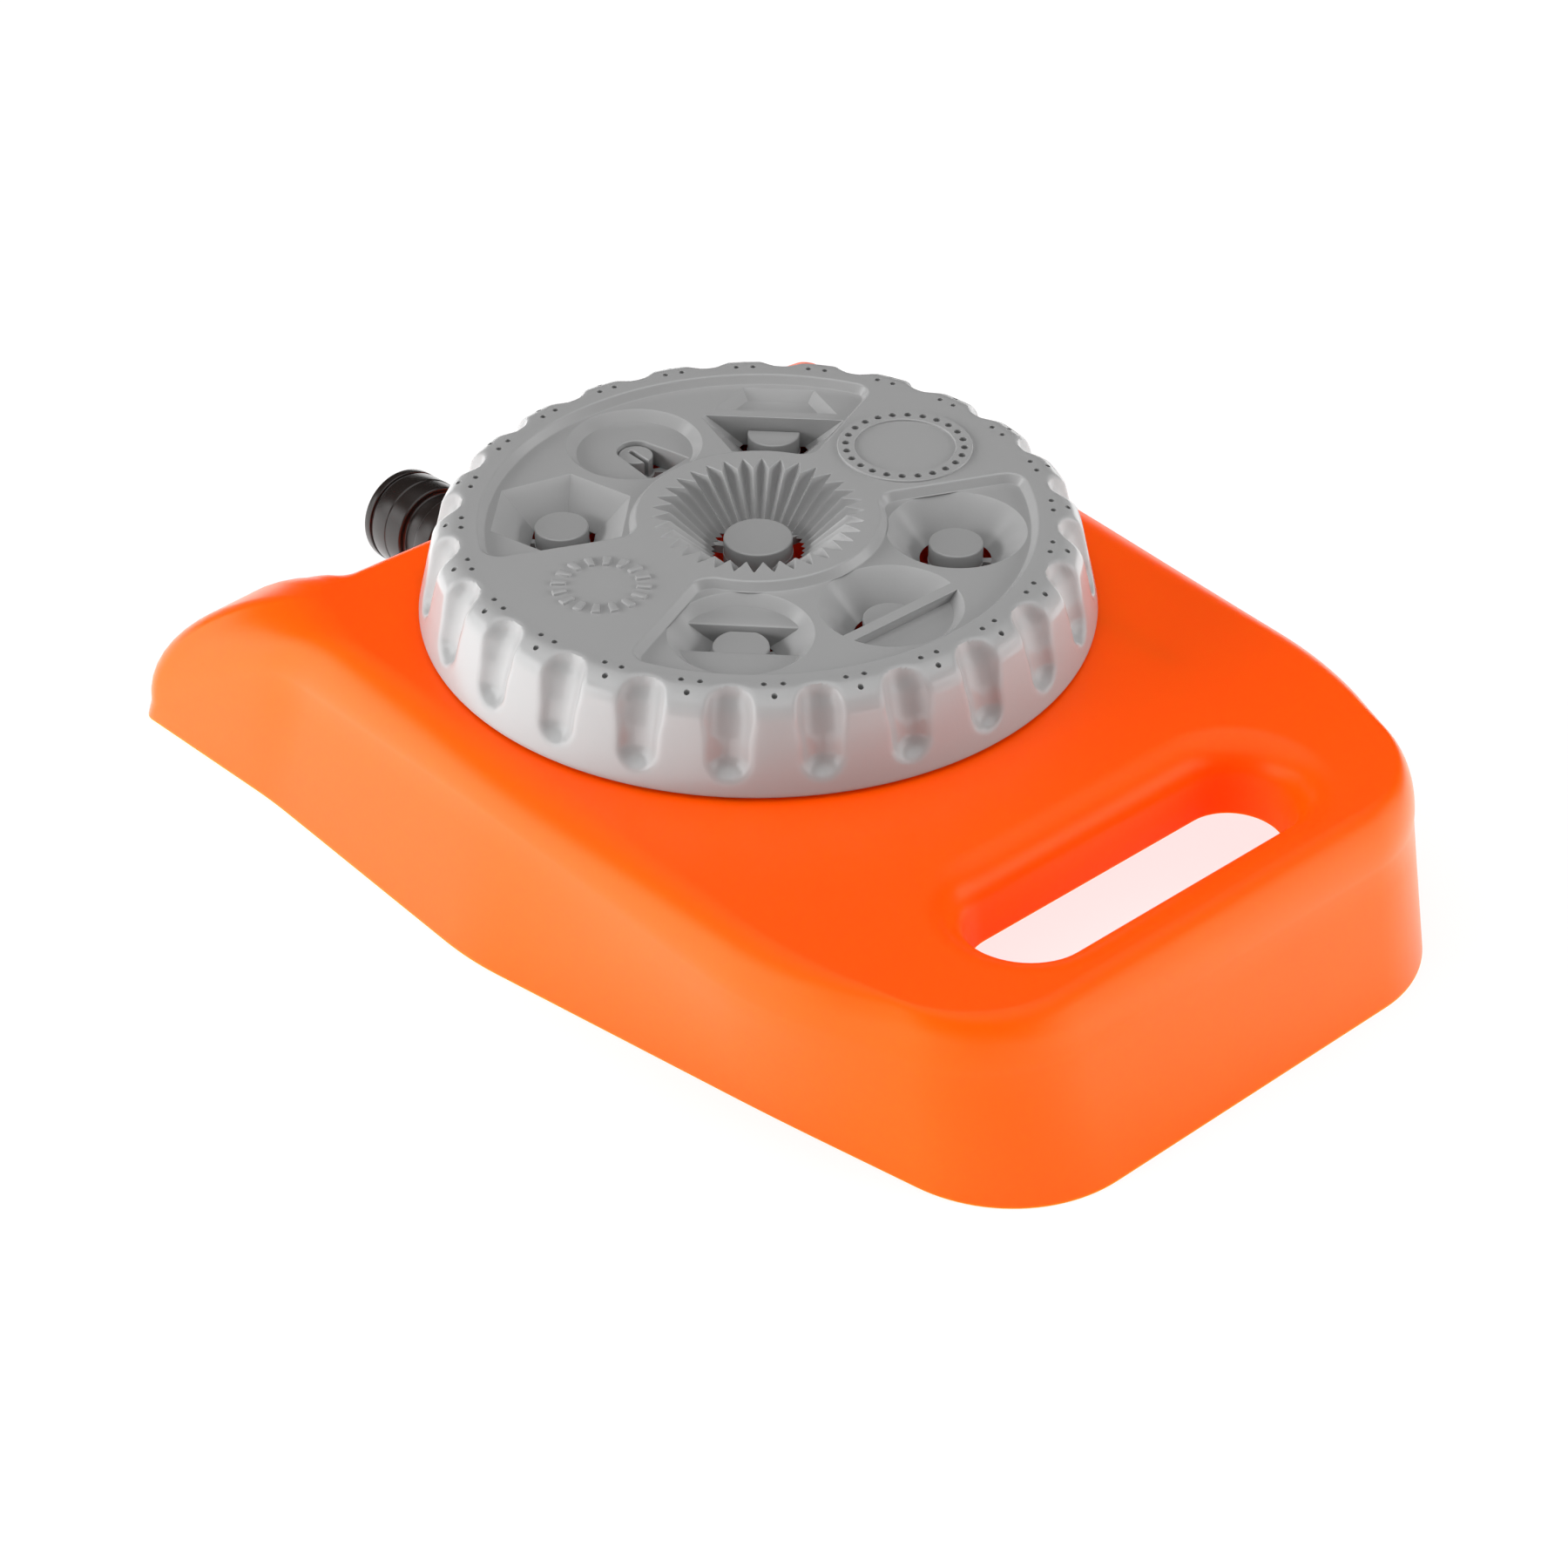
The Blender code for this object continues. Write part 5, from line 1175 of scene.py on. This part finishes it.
# %% [markdown]
# ## Hose nipple
#
# The nipple is turned in shape: a quick connector slips over its barrel, snaps into the
# groove behind it and seals on the O-ring land. It is a surface of revolution, P(i, j) =
# (r_i cos a_j, r_i sin a_j, z_i), of a profile whose corners are rounded, laid on an axis that
# dips six degrees towards the tip. A turned surface keeps every collar truly round.

# %% Nipple
def softened(profile, radius=0.25, steps=4):
    """Closed profile with each corner rounded; short sides limit the radius.

    The bend is (1 - t)^2 before + 2 t (1 - t) corner + t^2 after.
    """
    profile = np.array(profile, float)
    back = np.linalg.norm(profile - np.roll(profile, 1, 0), axis=1)
    ahead = np.roll(back, -1)
    reach = np.minimum(radius, 0.45 * np.minimum(back, ahead))[:, None]
    before = profile + (np.roll(profile, 1, 0) - profile) / back[:, None] * reach
    after = profile + (np.roll(profile, -1, 0) - profile) / ahead[:, None] * reach
    share = np.linspace(0.0, 1.0, steps)[None, :, None]
    bend = (1 - share) ** 2 * before[:, None] + 2 * share * (1 - share) * profile[:, None]
    return (bend + share**2 * after[:, None]).reshape(-1, 2)


# Profile as (radius, distance from the tip)
NIPPLE = softened([
    (9.0, 0.0), (9.0, 1.9), (8.5, 1.9), (8.5, 2.7), (9.0, 2.7), (9.0, 6.6), (8.85, 6.8), (8.85, 11.2),
    (7.6, 11.2), (7.6, 15.8), (9.0, 15.8), (9.0, 20.0), (7.6, 20.0), (7.6, 28.7), (9.3, 28.7),
    (9.3, 30.7), (6.6, 30.7), (6.6, 47.0), (5.0, 47.0), (5.0, 3.0), (5.6, 3.0), (5.6, 0.0),
], 0.45)
piece(
    mesh_of("nipple_moulding", on_nipple([turned(NIPPLE, 128)]), sharp=50.0), BLACK, "base",
    "black_nylon", "hose_nipple",
)

# %% [markdown]
# ## Pieces that keep their shape
#
# The plates, springs, seals and screws behind the openings and under the base keep the
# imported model's shape and get the finish of their own material.

# %% Finishes of the other pieces
KEPT = {
    "chamber_plate": RED, "dial_washer": STEEL, "dial_screw": STEEL, "port_seal": RUBBER,
    "seal_spring": STEEL, "detent_plunger": ACETAL, "detent_spring": STEEL, "box_gasket": RUBBER,
    "box_cover": BLACK, "cover_screw_1": STEEL, "cover_screw_2": STEEL, "cover_screw_3": STEEL,
    "cover_screw_4": STEEL, "inlet_strainer": STEEL, "nipple_oring": RUBBER, "nipple_nut": BLACK,
}
for name, look in KEPT.items():
    kept = frame["nodes"][name]
    kept.data.materials.clear()
    kept.data.materials.append(look)
    kept.data.shade_smooth()
    kept.data.set_sharp_from_angle(angle=math.radians(35))
print(len(KEPT), "pieces keep their shape")

# %% [markdown]
# ## Floor
#
# The object stands on white paper that also sends light up at its walls. Shader: the
# camera sees the paper near white with a soft shadow, mirror rays see it bright on both
# sides and dim in the middle, as between two lamps, and all other rays get light from it,
# more at the sides. One plane with a rule for each kind of ray is simpler than hidden cards.

# %% Floor
# The camera's turn about the vertical; light is laid out across and along its view
HEADING = math.radians(-40.65)
ACROSS = (math.cos(HEADING), math.sin(HEADING), 0.0)
AWAY = (-ACROSS[1], ACROSS[0], 0.0)
FLOOR_HALF = 6.0
# The floor lies this far below the feet, so that the two faces don't flicker
FLOOR_DROP = 0.0002
# Share of light that the paper sends back, and how much less of it camera and mirror rays see
PAPER = 0.92
PAPER_LESS = 0.66
# Light that camera rays see on top
PAPER_GLOW = 0.78


def maths(tree, operation, first, second=0.0):
    """Output of one step of arithmetic on sockets or numbers."""
    return node(tree, "Math", {0: first, 1: second}, operation=operation).outputs[0]


def along_axis(tree, vector, axis):
    """Output with the part of a vector along a fixed axis of length 1, v . axis."""
    made = node(tree, "VectorMath", {0: vector, 1: axis}, operation="DOT_PRODUCT")
    return made.outputs["Value"]


def ramp(tree, value, low, high, bottom=0.0, top=1.0):
    """Smooth step of a value from bottom at low to top at high."""
    inputs = {"Value": value, "From Min": low, "From Max": high, "To Min": bottom, "To Max": top}
    return node(tree, "MapRange", inputs, interpolation_type="SMOOTHSTEP").outputs["Result"]


corners = [(x, y, 0.0) for x, y in rectangle((-FLOOR_HALF, -FLOOR_HALF), (FLOOR_HALF, FLOOR_HALF))]
floor_mesh = bpy.data.meshes.new("floor")
floor_mesh.from_pydata(corners, [], [(0, 1, 2, 3)])
floor = bpy.data.objects.new("floor", floor_mesh)
floor.location = (0.0, 0.0, -FLOOR_DROP)
bpy.context.scene.collection.objects.link(floor)
paper = bpy.data.materials.new("white_paper")
paper.use_nodes = True
tree = paper.node_tree
tree.nodes.clear()
rays = node(tree, "LightPath")
mirror = rays.outputs["Is Glossy Ray"]
seen = maths(tree, "MAXIMUM", rays.outputs["Is Camera Ray"], rays.outputs["Is Transmission Ray"])
across = along_axis(tree, node(tree, "TexCoord").outputs["Object"], ACROSS)
aside = maths(tree, "ABSOLUTE", maths(tree, "SUBTRACT", across, 0.03))
side = ramp(tree, aside, 0.02, 0.10, 0.05, 1.5)
wide = ramp(tree, aside, 0.02, 0.25, 1.1, 2.8)
direct = maths(tree, "MAXIMUM", seen, mirror)
spread = maths(tree, "SUBTRACT", 1.0, direct)
matte = maths(tree, "SUBTRACT", PAPER, maths(tree, "MULTIPLY", direct, PAPER_LESS))
glow = maths(tree, "MULTIPLY", seen, PAPER_GLOW)
glow = maths(tree, "ADD", glow, maths(tree, "MULTIPLY", mirror, side))
glow = maths(tree, "ADD", glow, maths(tree, "MULTIPLY", spread, wide))
reflected = node(tree, "BsdfDiffuse", {"Color": matte})
lit = node(tree, "Emission", {"Strength": glow})
both = node(tree, "AddShader", {0: reflected.outputs[0], 1: lit.outputs[0]})
tree.links.new(both.outputs[0], node(tree, "OutputMaterial").inputs["Surface"])
floor_mesh.materials.append(paper)
print("floor", 2 * FLOOR_HALF, "m wide,", FLOOR_DROP * 1000, "mm below the feet")

# %% [markdown]
# ## Light
#
# The photograph was lit by large diffusers on both sides, brighter on the left, with a dark
# studio behind: that keeps the deck's colour full and draws clear edges in the openings.
# The surround is a tent whose brightness is a smooth step of the direction, and two soft
# boxes stand in it. Mirror rays see the tent dimmer near the horizon and don't see the boxes,
# so that flat tops don't wash out in a low view.

# %% Surround and soft boxes
world = bpy.data.worlds.new("studio")
bpy.context.scene.world = world
world.use_nodes = True
tree = world.node_tree
tree.nodes.clear()
rays = node(tree, "LightPath")
towards = node(tree, "TexCoord").outputs["Generated"]
across = along_axis(tree, towards, ACROSS)
away = along_axis(tree, towards, AWAY)
left = ramp(tree, across, -0.45, -0.70, 0.0, 4.2)
right = ramp(tree, across, 0.60, 0.85, 0.0, 3.0)
up = along_axis(tree, towards, (0.0, 0.0, 1.0))
dim = maths(tree, "MULTIPLY", rays.outputs["Is Glossy Ray"], ramp(tree, up, 0.46, 0.24, 0.0, 0.62))
low = maths(tree, "MULTIPLY", ramp(tree, up, 0.60, 0.30), maths(tree, "SUBTRACT", 1.0, dim))
near = maths(tree, "MULTIPLY", ramp(tree, away, 0.42, 0.28), ramp(tree, away, -0.75, -0.50))
sides = maths(tree, "MULTIPLY", maths(tree, "ADD", left, right), maths(tree, "MULTIPLY", low, near))
front = ramp(tree, away, -0.2, -0.7, 0.06, 0.12)
tent = maths(tree, "ADD", sides, maths(tree, "ADD", front, ramp(tree, up, 0.66, 0.85, 0.0, 1.36)))
white = linear("#FFFFFF")
bright = node(tree, "Background", {"Strength": 1.0, "Color": white}).outputs[0]
soft = node(tree, "Background", {"Strength": tent, "Color": white}).outputs[0]
mixed = node(tree, "MixShader", {0: rays.outputs["Is Camera Ray"], 1: soft, 2: bright})
tree.links.new(mixed.outputs[0], node(tree, "OutputWorld").inputs["Surface"])


def soft_box(name, place, size, power):
    """Rectangular lamp at a place in metres, aimed at the dial."""
    lamp = bpy.data.lights.new(name, "AREA")
    lamp.shape = "RECTANGLE"
    lamp.size, lamp.size_y = size
    lamp.energy = power
    obj = bpy.data.objects.new(name, lamp)
    obj.location = place
    aim = Vector((0.0, AXIS_Y, 0.02)) - obj.location
    obj.rotation_euler = aim.to_track_quat("-Z", "Y").to_euler()
    obj.visible_glossy = False
    bpy.context.scene.collection.objects.link(obj)


soft_box("left_box", (-0.86, 0.54, 0.34), (1.2, 0.45), 7.5)
soft_box("right_box", (0.72, -0.68, 0.34), (0.9, 0.45), 4.0)

# %% [markdown]
# ## Camera
#
# The camera stands in front and to the left, a little over half a metre from the dial, and
# looks down at 37 degrees. From so near, the photo's perspective is strong. The place and the
# lens were worked out from the photo's outlines, where the dial's circles show as ellipses.

# %% Camera at the photograph's angle
LOOKS_DOWN = math.radians(36.90)
camera_data = bpy.data.cameras.new("camera")
camera_data.lens = 74.06
camera_data.sensor_width = 36.0
camera = bpy.data.objects.new("camera", camera_data)
camera.location = (-0.29494, AXIS_Y - 0.35016, 0.33569)
camera.rotation_euler = (math.pi / 2 - LOOKS_DOWN, 0.0, HEADING)
bpy.context.scene.collection.objects.link(camera)
bpy.context.scene.camera = camera
print("camera at", [round(value, 3) for value in camera.location], "m")
